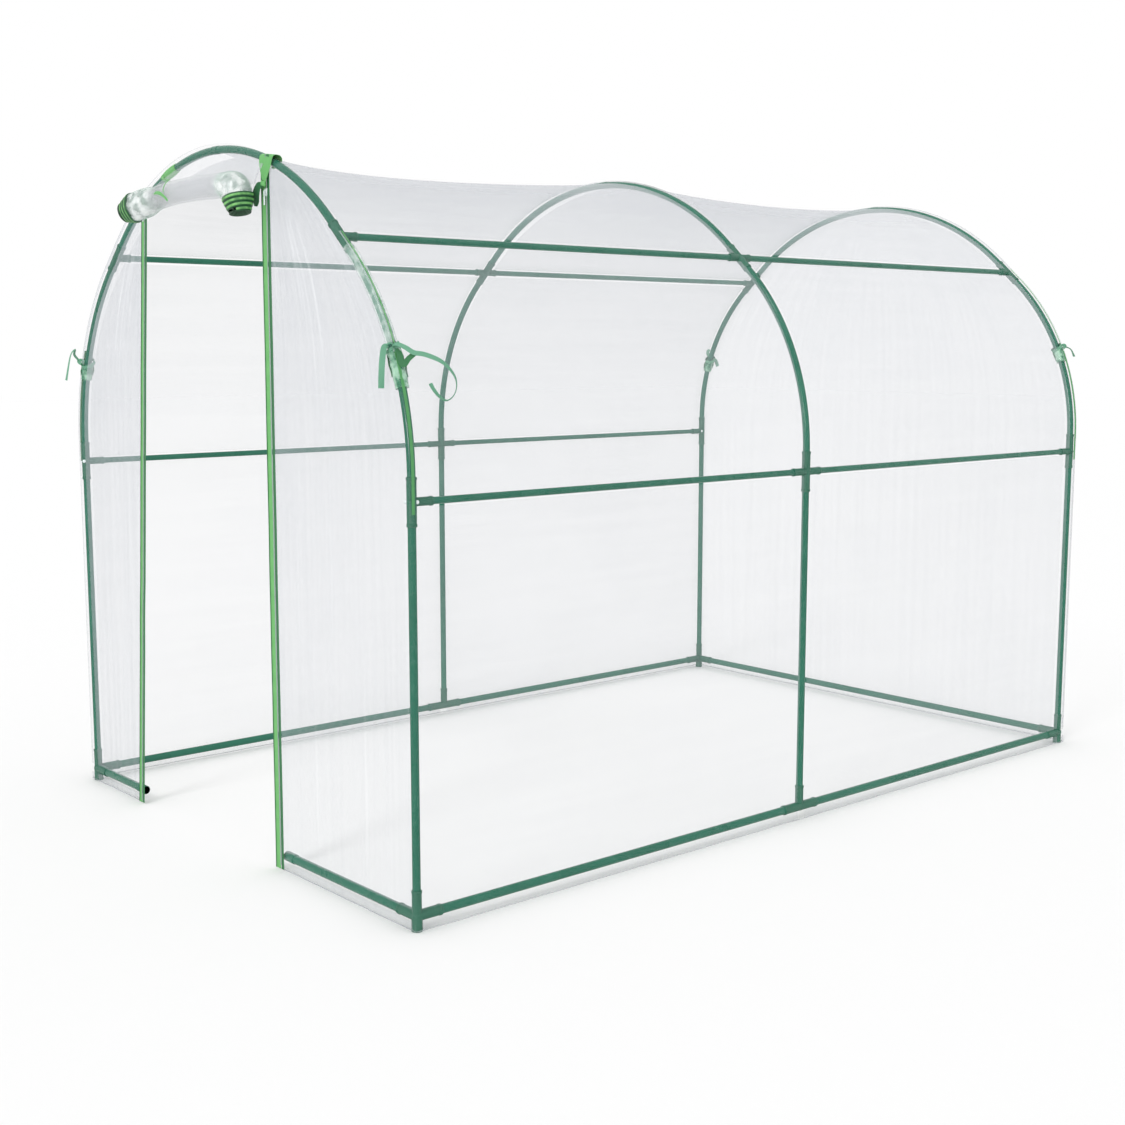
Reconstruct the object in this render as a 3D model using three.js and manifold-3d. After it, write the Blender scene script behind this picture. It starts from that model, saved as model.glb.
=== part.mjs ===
// Walk-in film greenhouse: three arches of push-fit tube, a fitted film cover and a roll-up zipped door.
// Millimetres, +Z up, the door in the -Y end, the ground at Z = 0.
import * as THREE from 'three';
import { mergeVertices } from 'three/addons/utils/BufferGeometryUtils.js';
import Module from 'manifold-3d';

const wasm = await Module();
wasm.setup();

// ---- overall sizes ----
const LEG_SPACING = 1880; // between the leg axes, across the tunnel
const TUNNEL_LENGTH = 2960; // between the axes of the first and last arch
const RAIL_HEIGHT = 40; // axis of the base rails above the ground
const MID_HEIGHT = 1100; // axis of the waist rails above the ground
const SHOULDER_RADIUS = 750; // bend of the arch between the waist and the purlin
const SHOULDER_TURN = 48 * Math.PI / 180; // how far the arch leans in by the purlin
const SLEEVE_ZONE = 60; // straight tube each side of an arch connector

// ---- tubes ----
const ARCH_RADIUS = 11;
const BAR_RADIUS = 9.5; // waist rails and purlins
const BASE_RADIUS = 12.5;
const TUBE_WALL = 0.9;
const SIDES = 12; // facets round a tube

// ---- connectors ----
const FIT_GAP = 0.35; // radial clearance of a tube in its socket
const SOCKET_WALL = 1.6;
const TUBE_STOP = BASE_RADIUS + 1.5; // how far short of a connector's centre each tube ends
const BASE_SOCKET = 75;
const LEG_SOCKET = 68;
const CROSS_SOCKET = 62;
const PURLIN_SOCKET = 46;
const ARCH_SLEEVE = 52; // half length of the sleeve on the arch at a purlin

// ---- cover ----
const COVER_INSET = ARCH_RADIUS + FIT_GAP + SOCKET_WALL + 2.25; // arch axis to the inside of the film
const FILM = 1; // thickness of the modelled film
const SEAM_GAP = 0.4; // between neighbouring film panels
const HEM_HEIGHT = 4; // film hem above the ground

// ---- doorway and rolled door ----
const DOOR_TOP_BELOW = 99.0; // where the door edges are measured, under the ridge axis
const DOOR_LEFT_BOTTOM = -575;
const DOOR_LEFT_TOP = -405;
const DOOR_RIGHT_BOTTOM = 300;
const DOOR_RIGHT_TOP = 312;
const STUB_COLLAR_LENGTH = 48;
const ROLL_FROM_X = -345;
const ROLL_TO_X = 298;
const ROLL_BELOW = 124; // roll axis under the ridge axis
const ROLL_RADIUS = 48;
const ROLL_CORE = 19;
const ROLL_TURNS = 4;
const ROLL_FILM = 1.6;
const ROLL_OUT = ROLL_RADIUS + 37; // roll axis in front of the first arch

// ---- door straps ----
const STRAP_WIDTH = 24;
const STRAP_THICK = 2;
const STRAP_GAP = 1.5;
const STRAP_LEFT_X = -215;
const STRAP_RIGHT_X = 272;
const STRAP_TOP_BELOW = 54; // strap's sewn end under the ridge axis
const STRAP_TOP_OUT = 24; // strap's sewn end in front of the first arch

// ---- zip sliders ----
const SLIDER_BELOW = 139; // slider under the ridge axis
const SLIDER_WIDTH = 13;
const SLIDER_LENGTH = 20;
const SLIDER_DEPTH = 3.6;
const EAR_THICK = 2;
const EAR_REACH = 6.4; // ears beyond the slider's face
const EAR_TALL = 7;
const PIN_RADIUS = 1.1;
const PIN_REACH = 4; // pin axis beyond the slider's face
const EYE_RADIUS = 2.2;
const TAB_LENGTH = 34;
const TAB_WIDTH = 7;
const TAB_THICK = 1.6;
const PIN_GAP = 0.3;

// ---- worked-out sizes ----
const HALF_SPAN = LEG_SPACING / 2;
const HALF_LENGTH = TUNNEL_LENGTH / 2;
const ARC_START = MID_HEIGHT + SLEEVE_ZONE;
const COS = Math.cos(SHOULDER_TURN);
const SIN = Math.sin(SHOULDER_TURN);
const SHOULDER_END_X = HALF_SPAN - SHOULDER_RADIUS + SHOULDER_RADIUS * COS;
const SHOULDER_END_Z = ARC_START + SHOULDER_RADIUS * SIN;
const PURLIN_X = SHOULDER_END_X - SLEEVE_ZONE * SIN;
const PURLIN_Z = SHOULDER_END_Z + SLEEVE_ZONE * COS;
const CROWN_START_X = PURLIN_X - SLEEVE_ZONE * SIN;
const CROWN_START_Z = PURLIN_Z + SLEEVE_ZONE * COS;
const CROWN_RADIUS = CROWN_START_X / COS;
const CROWN_CENTRE_Z = CROWN_START_Z - CROWN_RADIUS * SIN;
const RIDGE_Z = CROWN_CENTRE_Z + CROWN_RADIUS;
const DOOR_TOP = RIDGE_Z - DOOR_TOP_BELOW;
const ROLL_HEIGHT = RIDGE_Z - ROLL_BELOW;
const STRAP_TOP = RIDGE_Z - STRAP_TOP_BELOW;
const SLIDER_HEIGHT = RIDGE_Z - SLIDER_BELOW;
const STRAP_REACH = ROLL_OUT + ROLL_RADIUS + STRAP_GAP + STRAP_THICK;
const Y_SHIFT = (STRAP_REACH - COVER_INSET - FILM) / 2; // puts the origin under the middle of the whole
const FRONT_Y = -HALF_LENGTH;
const FACE_Y = FRONT_Y - COVER_INSET - FILM; // outside face of the front film
const ARCHES = [
  ['front', -HALF_LENGTH],
  ['middle', 0],
  ['back', HALF_LENGTH],
];
const SIDE_SIGNS = [['right', 1], ['left', -1]];

const FINISHES = [
  ['tube', { color: 0x2f7a60, roughness: 0.35, metalness: 0.2 }],
  ['connector', { color: 0x1d4a3a, roughness: 0.55, metalness: 0 }],
  ['film', { color: 0xdfe6e4, roughness: 0.15, metalness: 0, transparent: true, opacity: 0.35 }],
  ['strap', { color: 0x4f9a4f, roughness: 0.85, metalness: 0 }],
  ['zip', { color: 0xb9c4c4, roughness: 0.25, metalness: 0 }],
];
const MATERIALS = {};
for (const [name, finish] of FINISHES) {
  MATERIALS[name] = new THREE.MeshStandardMaterial({ name, ...finish });
}

const model = new THREE.Group();
const tunnel = new THREE.Group(); // holds every mesh, with Y = 0 at the middle arch
tunnel.position.y = Y_SHIFT;
model.add(tunnel);

// ---- helpers ----

const MERGE_DISTANCE = 1e-4; // corners closer than this are one corner

function point(x, y, z) {
  return new THREE.Vector3(x, y, z);
}

function toSolid(geometry) {
  const bare = geometry.clone();
  bare.deleteAttribute('normal');
  bare.deleteAttribute('uv');
  const merged = mergeVertices(bare, MERGE_DISTANCE);
  return new wasm.Manifold(new wasm.Mesh({
    numProp: 3,
    vertProperties: Float32Array.from(merged.getAttribute('position').array),
    triVerts: withoutSlivers(merged.getIndex().array),
  }));
}

// Leaves out the triangles that lost a side when their corners were merged.
function withoutSlivers(corners) {
  const kept = [];
  for (let i = 0; i < corners.length; i += 3) {
    const [a, b, c] = [corners[i], corners[i + 1], corners[i + 2]];
    if (a !== b && b !== c && a !== c) kept.push(a, b, c);
  }
  return Uint32Array.from(kept);
}

function toGeometry(solid) {
  const mesh = solid.getMesh();
  const geometry = new THREE.BufferGeometry();
  geometry.setAttribute('position', new THREE.BufferAttribute(Float32Array.from(mesh.vertProperties), 3));
  geometry.setIndex(new THREE.BufferAttribute(Uint32Array.from(mesh.triVerts), 1));
  geometry.computeVertexNormals();
  return geometry;
}

function union(solids) {
  return solids.reduce((total, next) => total.add(next));
}

function place(name, material, shape) {
  const geometry = shape.isBufferGeometry ? shape : toGeometry(shape);
  const mesh = new THREE.Mesh(geometry, MATERIALS[material]);
  mesh.name = name;
  tunnel.add(mesh);
}

function circlePoints(radius) {
  const points = [];
  for (let i = 0; i < SIDES; i += 1) {
    const angle = 2 * Math.PI * i / SIDES;
    points.push(new THREE.Vector2(radius * Math.cos(angle), radius * Math.sin(angle)));
  }
  return points;
}

function ringShape(outer, inner) {
  const shape = new THREE.Shape(circlePoints(outer));
  if (inner > 0) shape.holes.push(new THREE.Path(circlePoints(inner)));
  return shape;
}

// Turns local Z to the given direction, keeping local X on world Y where it can.
function aim(geometry, direction, from) {
  const z = direction.clone().normalize();
  const guide = Math.abs(z.y) > 0.9 ? point(1, 0, 0) : point(0, 1, 0);
  const y = z.clone().cross(guide).normalize();
  const x = y.clone().cross(z);
  geometry.applyMatrix4(new THREE.Matrix4().makeBasis(x, y, z));
  return geometry.translate(from.x, from.y, from.z);
}

// A straight round bar from one point to another, hollow when it is given a bore.
function bar(from, to, radius, bore = 0) {
  const direction = to.clone().sub(from);
  const geometry = new THREE.ExtrudeGeometry(ringShape(radius, bore), {
    depth: direction.length(), steps: 1, bevelEnabled: false,
  });
  return aim(geometry, direction, from);
}

// A path that stops exactly at each of its stations.
class StationPath extends THREE.Curve {
  constructor(stations) {
    super();
    this.stations = stations;
  }

  getPoint(t, target = point(0, 0, 0)) {
    const along = Math.min(Math.max(t, 0), 1) * (this.stations.length - 1);
    const low = Math.min(Math.floor(along), this.stations.length - 2);
    return target.lerpVectors(this.stations[low], this.stations[low + 1], along - low);
  }

  getUtoTmapping(u) {
    return u;
  }
}

function bentTube(stations, radius) {
  return new THREE.ExtrudeGeometry(ringShape(radius, radius - TUBE_WALL), {
    steps: stations.length - 1, extrudePath: new StationPath(stations),
  });
}

// A flat X-Z outline given a thickness along Y, starting at y.
function sheetXZ(outline, y, thickness) {
  const geometry = new THREE.ExtrudeGeometry(new THREE.Shape(outline), {
    depth: thickness, steps: 1, bevelEnabled: false,
  });
  geometry.applyMatrix4(new THREE.Matrix4().makeRotationX(Math.PI / 2));
  return geometry.translate(0, y + thickness, 0);
}

// A flat Y-Z outline given a width along X, starting at x.
function stripYZ(shape, x, width) {
  const geometry = new THREE.ExtrudeGeometry(shape, { depth: width, steps: 1, bevelEnabled: false });
  const turn = new THREE.Matrix4().makeBasis(point(0, 1, 0), point(0, 0, 1), point(1, 0, 0));
  geometry.applyMatrix4(turn);
  return geometry.translate(x, 0, 0);
}

function box(x0, x1, y0, y1, z0, z1) {
  const geometry = new THREE.BoxGeometry(x1 - x0, y1 - y0, z1 - z0);
  return geometry.translate((x0 + x1) / 2, (y0 + y1) / 2, (z0 + z1) / 2);
}

// ---- the line of an arch ----

const SHOULDER_STEPS = 8;
const CROWN_STEPS = 7;

function shoulderArc(offset) {
  const points = [];
  for (let i = 0; i <= SHOULDER_STEPS; i += 1) {
    const angle = SHOULDER_TURN * i / SHOULDER_STEPS;
    points.push(new THREE.Vector2(
      HALF_SPAN - SHOULDER_RADIUS + (SHOULDER_RADIUS + offset) * Math.cos(angle),
      ARC_START + (SHOULDER_RADIUS + offset) * Math.sin(angle),
    ));
  }
  return points;
}

function crownArc(offset) {
  const points = [];
  for (let i = 0; i <= CROWN_STEPS; i += 1) {
    const angle = SHOULDER_TURN + (Math.PI / 2 - SHOULDER_TURN) * i / CROWN_STEPS;
    points.push(new THREE.Vector2(
      (CROWN_RADIUS + offset) * Math.cos(angle),
      CROWN_CENTRE_Z + (CROWN_RADIUS + offset) * Math.sin(angle),
    ));
  }
  return points;
}

function mirrored(points) {
  return points.map((p) => new THREE.Vector2(-p.x, p.y)).reverse();
}

// The whole arch line from the right foot over the top to the left foot.
function archLine(offset, bottom) {
  const foot = new THREE.Vector2(HALF_SPAN + offset, bottom);
  const half = [foot, ...shoulderArc(offset), ...crownArc(offset)];
  return [...half, ...mirrored(half).slice(1)];
}

function inPlane(points, y) {
  return points.map((p) => point(p.x, y, p.y));
}

// ---- tubes ----

function archTubes(where, y) {
  const lean = point(-SIN, 0, COS);
  for (const [side, sign] of SIDE_SIGNS) {
    const flip = (list) => list.map((p) => point(sign * p.x, p.y, p.z));
    const foot = point(sign * HALF_SPAN, y, RAIL_HEIGHT + TUBE_STOP);
    const top = point(sign * HALF_SPAN, y, MID_HEIGHT - TUBE_STOP);
    place(`leg_${where}_${side}`, 'tube', bar(foot, top, ARCH_RADIUS, ARCH_RADIUS - TUBE_WALL));
    const end = point(PURLIN_X, y, PURLIN_Z).addScaledVector(lean, -TUBE_STOP);
    const stations = [
      point(HALF_SPAN, y, MID_HEIGHT + TUBE_STOP), ...inPlane(shoulderArc(0), y), end,
    ];
    place(`shoulder_tube_${where}_${side}`, 'tube', bentTube(flip(stations), ARCH_RADIUS));
  }
  const start = point(PURLIN_X, y, PURLIN_Z).addScaledVector(lean, TUBE_STOP);
  const half = [new THREE.Vector2(start.x, start.z), ...crownArc(0)];
  const whole = [...half, ...mirrored(half).slice(1)];
  place(`crown_tube_${where}`, 'tube', bentTube(inPlane(whole, y), ARCH_RADIUS));
}

function rails() {
  const bays = [['front', -HALF_LENGTH, 0], ['back', 0, HALF_LENGTH]];
  const lines = [
    ['base_rail', HALF_SPAN, RAIL_HEIGHT, BASE_RADIUS],
    ['waist_rail', HALF_SPAN, MID_HEIGHT, BAR_RADIUS],
    ['purlin', PURLIN_X, PURLIN_Z, BAR_RADIUS],
  ];
  for (const [kind, x, z, radius] of lines) {
    for (const [bay, y0, y1] of bays) {
      for (const [side, sign] of SIDE_SIGNS) {
        const from = point(sign * x, y0 + TUBE_STOP, z);
        const to = point(sign * x, y1 - TUBE_STOP, z);
        place(`${kind}_${bay}_${side}`, 'tube', bar(from, to, radius, radius - TUBE_WALL));
      }
    }
  }
  const reach = HALF_SPAN - TUBE_STOP;
  const backRail = bar(
    point(-reach, HALF_LENGTH, RAIL_HEIGHT), point(reach, HALF_LENGTH, RAIL_HEIGHT),
    BASE_RADIUS, BASE_RADIUS - TUBE_WALL,
  );
  place('base_rail_back', 'tube', backRail);
}

function doorEdge(bottom, top, z) {
  return bottom + (top - bottom) * z / DOOR_TOP;
}

// A short base rail beside the doorway, with a collar on its free end.
function doorStub(side, cornerX, freeX) {
  const along = Math.sign(freeX - cornerX);
  const from = point(cornerX + along * TUBE_STOP, FRONT_Y, RAIL_HEIGHT);
  const to = point(freeX, FRONT_Y, RAIL_HEIGHT);
  const collarFrom = point(freeX - along * STUB_COLLAR_LENGTH, FRONT_Y, RAIL_HEIGHT);
  const bore = bar(
    from.clone().add(point(-along, 0, 0)), to.clone().add(point(along, 0, 0)), BASE_RADIUS - TUBE_WALL,
  );
  const body = toSolid(bar(from, to, BASE_RADIUS)).add(
    toSolid(bar(collarFrom, to, BASE_RADIUS + SOCKET_WALL)),
  );
  place(`base_stub_${side}`, 'tube', body.subtract(toSolid(bore)));
}

// ---- connectors ----

// A connector is one socket for each tube that meets at its centre.
function connector(name, centre, sockets, extras = []) {
  const bodies = [];
  const bores = [];
  for (const [direction, length, tubeRadius] of sockets) {
    const outer = tubeRadius + FIT_GAP + SOCKET_WALL;
    const unit = direction.clone().normalize();
    const behind = centre.clone().addScaledVector(unit, -outer * 0.8);
    const mouth = centre.clone().addScaledVector(unit, length);
    bodies.push(toSolid(bar(behind, mouth, outer)));
    const inside = centre.clone().addScaledVector(unit, -2);
    const beyond = centre.clone().addScaledVector(unit, length + 1);
    bores.push(toSolid(bar(inside, beyond, tubeRadius + FIT_GAP)));
  }
  place(name, 'connector', union([...bodies, ...extras]).subtract(union(bores)));
}

const UP = point(0, 0, 1);
const DOWN = point(0, 0, -1);

function baySockets(where, length, radius) {
  const sockets = [];
  if (where !== 'back') sockets.push([point(0, 1, 0), length, radius]);
  if (where !== 'front') sockets.push([point(0, -1, 0), length, radius]);
  return sockets;
}

function foot(x, y) {
  const radius = BASE_RADIUS + FIT_GAP + SOCKET_WALL;
  return toSolid(bar(point(x, y, 0), point(x, y, RAIL_HEIGHT - BASE_RADIUS), radius));
}

function connectors() {
  for (const [where, y] of ARCHES) {
    for (const [side, sign] of SIDE_SIGNS) {
      const x = sign * HALF_SPAN;
      const base = [[UP, LEG_SOCKET, ARCH_RADIUS], ...baySockets(where, BASE_SOCKET, BASE_RADIUS)];
      if (where === 'middle') {
        connector(`base_tee_${side}`, point(x, y, RAIL_HEIGHT), base);
      } else {
        base.push([point(-sign, 0, 0), BASE_SOCKET, BASE_RADIUS]);
        connector(`base_corner_${where}_${side}`, point(x, y, RAIL_HEIGHT), base, [foot(x, y)]);
      }
      connector(`waist_joint_${where}_${side}`, point(x, y, MID_HEIGHT), [
        [UP, CROSS_SOCKET, ARCH_RADIUS],
        [DOWN, CROSS_SOCKET, ARCH_RADIUS],
        ...baySockets(where, CROSS_SOCKET, BAR_RADIUS),
      ]);
      const lean = point(-sign * SIN, 0, COS);
      connector(`purlin_joint_${where}_${side}`, point(sign * PURLIN_X, y, PURLIN_Z), [
        [lean, ARCH_SLEEVE, ARCH_RADIUS],
        [lean.clone().negate(), ARCH_SLEEVE, ARCH_RADIUS],
        ...baySockets(where, PURLIN_SOCKET, BAR_RADIUS),
      ]);
    }
  }
}

// ---- cover ----

function coverHood() {
  const outside = archLine(COVER_INSET + FILM, HEM_HEIGHT);
  const inside = archLine(COVER_INSET, HEM_HEIGHT).reverse();
  const length = TUNNEL_LENGTH + 2 * (COVER_INSET + FILM);
  return sheetXZ([...outside, ...inside], FACE_Y, length);
}

function endSheet(y) {
  return toSolid(sheetXZ(archLine(COVER_INSET - SEAM_GAP, HEM_HEIGHT), y, FILM));
}

// Everything on one side of a door edge, as a tall slab to cut with.
function besideDoor(bottom, top, outward) {
  const height = 2 * DOOR_TOP;
  const low = doorEdge(bottom, top, -100) + outward * SEAM_GAP;
  const high = doorEdge(bottom, top, height) + outward * SEAM_GAP;
  const far = outward * LEG_SPACING;
  const outline = [
    new THREE.Vector2(low, -100), new THREE.Vector2(far, -100),
    new THREE.Vector2(far, height), new THREE.Vector2(high, height),
  ];
  if (outward < 0) outline.reverse();
  return toSolid(sheetXZ(outline, FRONT_Y - 200, 400));
}

function cover() {
  place('cover_hood', 'film', coverHood());
  place('cover_back', 'film', endSheet(HALF_LENGTH + COVER_INSET));
  const front = endSheet(FACE_Y);
  const right = besideDoor(DOOR_RIGHT_BOTTOM, DOOR_RIGHT_TOP, 1);
  const left = besideDoor(DOOR_LEFT_BOTTOM, DOOR_LEFT_TOP, -1);
  place('cover_front_right', 'film', front.intersect(right));
  place('cover_front_left', 'film', front.intersect(left));
}

// ---- rolled door ----

function rollShape() {
  const stepsPerTurn = 18;
  const steps = ROLL_TURNS * stepsPerTurn;
  const start = Math.PI * 0.35;
  const outside = [];
  const inside = [];
  for (let i = 0; i <= steps; i += 1) {
    const angle = start + 2 * Math.PI * i / stepsPerTurn;
    const radius = ROLL_RADIUS - (ROLL_RADIUS - ROLL_CORE) * i / steps;
    const ray = [Math.cos(angle), Math.sin(angle)];
    const at = (r) => new THREE.Vector2(
      FRONT_Y - ROLL_OUT + r * ray[0], ROLL_HEIGHT + r * ray[1],
    );
    outside.push(at(radius));
    inside.push(at(radius - ROLL_FILM));
  }
  return new THREE.Shape([...outside, ...inside.reverse()]);
}

// The unrolled top of the door, from the arch seam down behind the roll.
function doorBand() {
  const edge = (bottom, top, z, inward) => new THREE.Vector2(doorEdge(bottom, top, z) + inward * SEAM_GAP, z);
  const high = 2 * DOOR_TOP;
  const between = [
    edge(DOOR_LEFT_BOTTOM, DOOR_LEFT_TOP, ROLL_HEIGHT, 1),
    edge(DOOR_RIGHT_BOTTOM, DOOR_RIGHT_TOP, ROLL_HEIGHT, -1),
    edge(DOOR_RIGHT_BOTTOM, DOOR_RIGHT_TOP, high, -1),
    edge(DOOR_LEFT_BOTTOM, DOOR_LEFT_TOP, high, 1),
  ];
  const doorway = toSolid(sheetXZ(between, FRONT_Y - 200, 400));
  return endSheet(FACE_Y).intersect(doorway);
}

// A drop-shaped loop round the roll, hung from a point above and behind it.
function loopPoints(radius, tip) {
  const centre = new THREE.Vector2(FRONT_Y - ROLL_OUT, ROLL_HEIGHT);
  const away = tip.clone().sub(centre);
  const toTip = Math.atan2(away.y, away.x);
  const open = Math.acos(radius / away.length());
  const points = [tip];
  const steps = 20;
  for (let i = 0; i <= steps; i += 1) {
    const angle = toTip + open + (2 * Math.PI - 2 * open) * i / steps;
    points.push(new THREE.Vector2(
      centre.x + radius * Math.cos(angle), centre.y + radius * Math.sin(angle),
    ));
  }
  return points;
}

function doorStrap(x) {
  const inner = ROLL_RADIUS + STRAP_GAP;
  const tip = new THREE.Vector2(FRONT_Y - STRAP_TOP_OUT, STRAP_TOP);
  const centre = new THREE.Vector2(FRONT_Y - ROLL_OUT, ROLL_HEIGHT);
  const outerTip = tip.clone().addScaledVector(tip.clone().sub(centre).normalize(), STRAP_THICK);
  const shape = new THREE.Shape(loopPoints(inner + STRAP_THICK, outerTip));
  shape.holes.push(new THREE.Path(loopPoints(inner, tip)));
  return stripYZ(shape, x - STRAP_WIDTH / 2, STRAP_WIDTH);
}

function door() {
  place('door_roll', 'film', stripYZ(rollShape(), ROLL_FROM_X, ROLL_TO_X - ROLL_FROM_X));
  place('door_film', 'film', doorBand());
  place('door_strap_left', 'strap', doorStrap(STRAP_LEFT_X));
  place('door_strap_right', 'strap', doorStrap(STRAP_RIGHT_X));
}

// ---- zips ----

function slider(x) {
  const back = FACE_Y - PIN_GAP;
  const face = back - SLIDER_DEPTH;
  const half = SLIDER_WIDTH / 2;
  const body = toSolid(box(
    x - half, x + half, face, back, SLIDER_HEIGHT - SLIDER_LENGTH / 2, SLIDER_HEIGHT + SLIDER_LENGTH / 2,
  ));
  const pinY = face - PIN_REACH;
  const pin = toSolid(bar(
    point(x - half + 0.5, pinY, SLIDER_HEIGHT), point(x + half - 0.5, pinY, SLIDER_HEIGHT), PIN_RADIUS,
  ));
  const ears = [-1, 1].map((sign) => {
    const outer = x + sign * half;
    const inner = x + sign * (half - EAR_THICK);
    return toSolid(box(
      Math.min(outer, inner), Math.max(outer, inner), face - EAR_REACH, face + 1,
      SLIDER_HEIGHT - EAR_TALL / 2, SLIDER_HEIGHT + EAR_TALL / 2,
    ));
  });
  return union([body, pin, ...ears]);
}

function pullTab(x) {
  const pinY = FACE_Y - PIN_GAP - SLIDER_DEPTH - PIN_REACH;
  const half = TAB_WIDTH / 2;
  const eye = toSolid(bar(
    point(x - half, pinY, SLIDER_HEIGHT), point(x + half, pinY, SLIDER_HEIGHT), EYE_RADIUS,
  ));
  const hole = toSolid(bar(
    point(x - half - 1, pinY, SLIDER_HEIGHT), point(x + half + 1, pinY, SLIDER_HEIGHT), PIN_RADIUS + PIN_GAP,
  ));
  const plate = toSolid(box(
    x - half, x + half, pinY - TAB_THICK / 2, pinY + TAB_THICK / 2, SLIDER_HEIGHT - TAB_LENGTH, SLIDER_HEIGHT,
  ));
  return eye.add(plate).subtract(hole);
}

function zips() {
  const edges = [
    ['left', DOOR_LEFT_BOTTOM, DOOR_LEFT_TOP],
    ['right', DOOR_RIGHT_BOTTOM, DOOR_RIGHT_TOP],
  ];
  for (const [side, bottom, top] of edges) {
    const x = doorEdge(bottom, top, SLIDER_HEIGHT);
    place(`zip_slider_${side}`, 'zip', slider(x));
    place(`zip_tab_${side}`, 'zip', pullTab(x));
  }
}

for (const [where, y] of ARCHES) archTubes(where, y);
rails();
doorStub('right', HALF_SPAN, doorEdge(DOOR_RIGHT_BOTTOM, DOOR_RIGHT_TOP, RAIL_HEIGHT) + 6);
doorStub('left', -HALF_SPAN, doorEdge(DOOR_LEFT_BOTTOM, DOOR_LEFT_TOP, RAIL_HEIGHT) - 6);
connectors();
cover();
door();
zips();

export default model;
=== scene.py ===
"""Visual model of a walk-in film greenhouse: tube arches, a clear fitted cover and a rolled-up zip door."""

import logging
import math
from dataclasses import dataclass, field
from enum import Enum
from typing import Callable, Sequence

import bmesh
import bpy
from mathutils import Matrix, Vector, noise


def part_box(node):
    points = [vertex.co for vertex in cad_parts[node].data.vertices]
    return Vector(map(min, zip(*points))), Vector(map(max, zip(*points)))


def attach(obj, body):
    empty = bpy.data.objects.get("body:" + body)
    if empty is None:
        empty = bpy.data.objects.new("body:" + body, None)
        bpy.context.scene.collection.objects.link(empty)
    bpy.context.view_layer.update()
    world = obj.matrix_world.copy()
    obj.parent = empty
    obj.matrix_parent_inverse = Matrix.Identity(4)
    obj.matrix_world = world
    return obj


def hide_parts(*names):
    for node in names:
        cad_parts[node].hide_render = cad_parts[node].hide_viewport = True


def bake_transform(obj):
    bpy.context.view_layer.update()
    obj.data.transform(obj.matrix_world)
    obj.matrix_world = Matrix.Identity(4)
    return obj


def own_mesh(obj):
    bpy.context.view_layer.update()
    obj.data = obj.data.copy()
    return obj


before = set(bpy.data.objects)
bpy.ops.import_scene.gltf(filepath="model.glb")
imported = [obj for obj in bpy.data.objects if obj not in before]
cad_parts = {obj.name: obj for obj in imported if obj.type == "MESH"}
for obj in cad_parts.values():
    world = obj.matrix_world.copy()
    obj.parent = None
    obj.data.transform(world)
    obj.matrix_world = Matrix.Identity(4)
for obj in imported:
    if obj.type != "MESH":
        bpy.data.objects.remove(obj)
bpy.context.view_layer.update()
LOG = logging.getLogger("greenhouse")
ROOT = "frame_and_cover"
SIDES = (("right", 1), ("left", -1))
UP = Vector((0, 0, 1))


# ---------------------------------------------------------------- finishes


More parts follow.
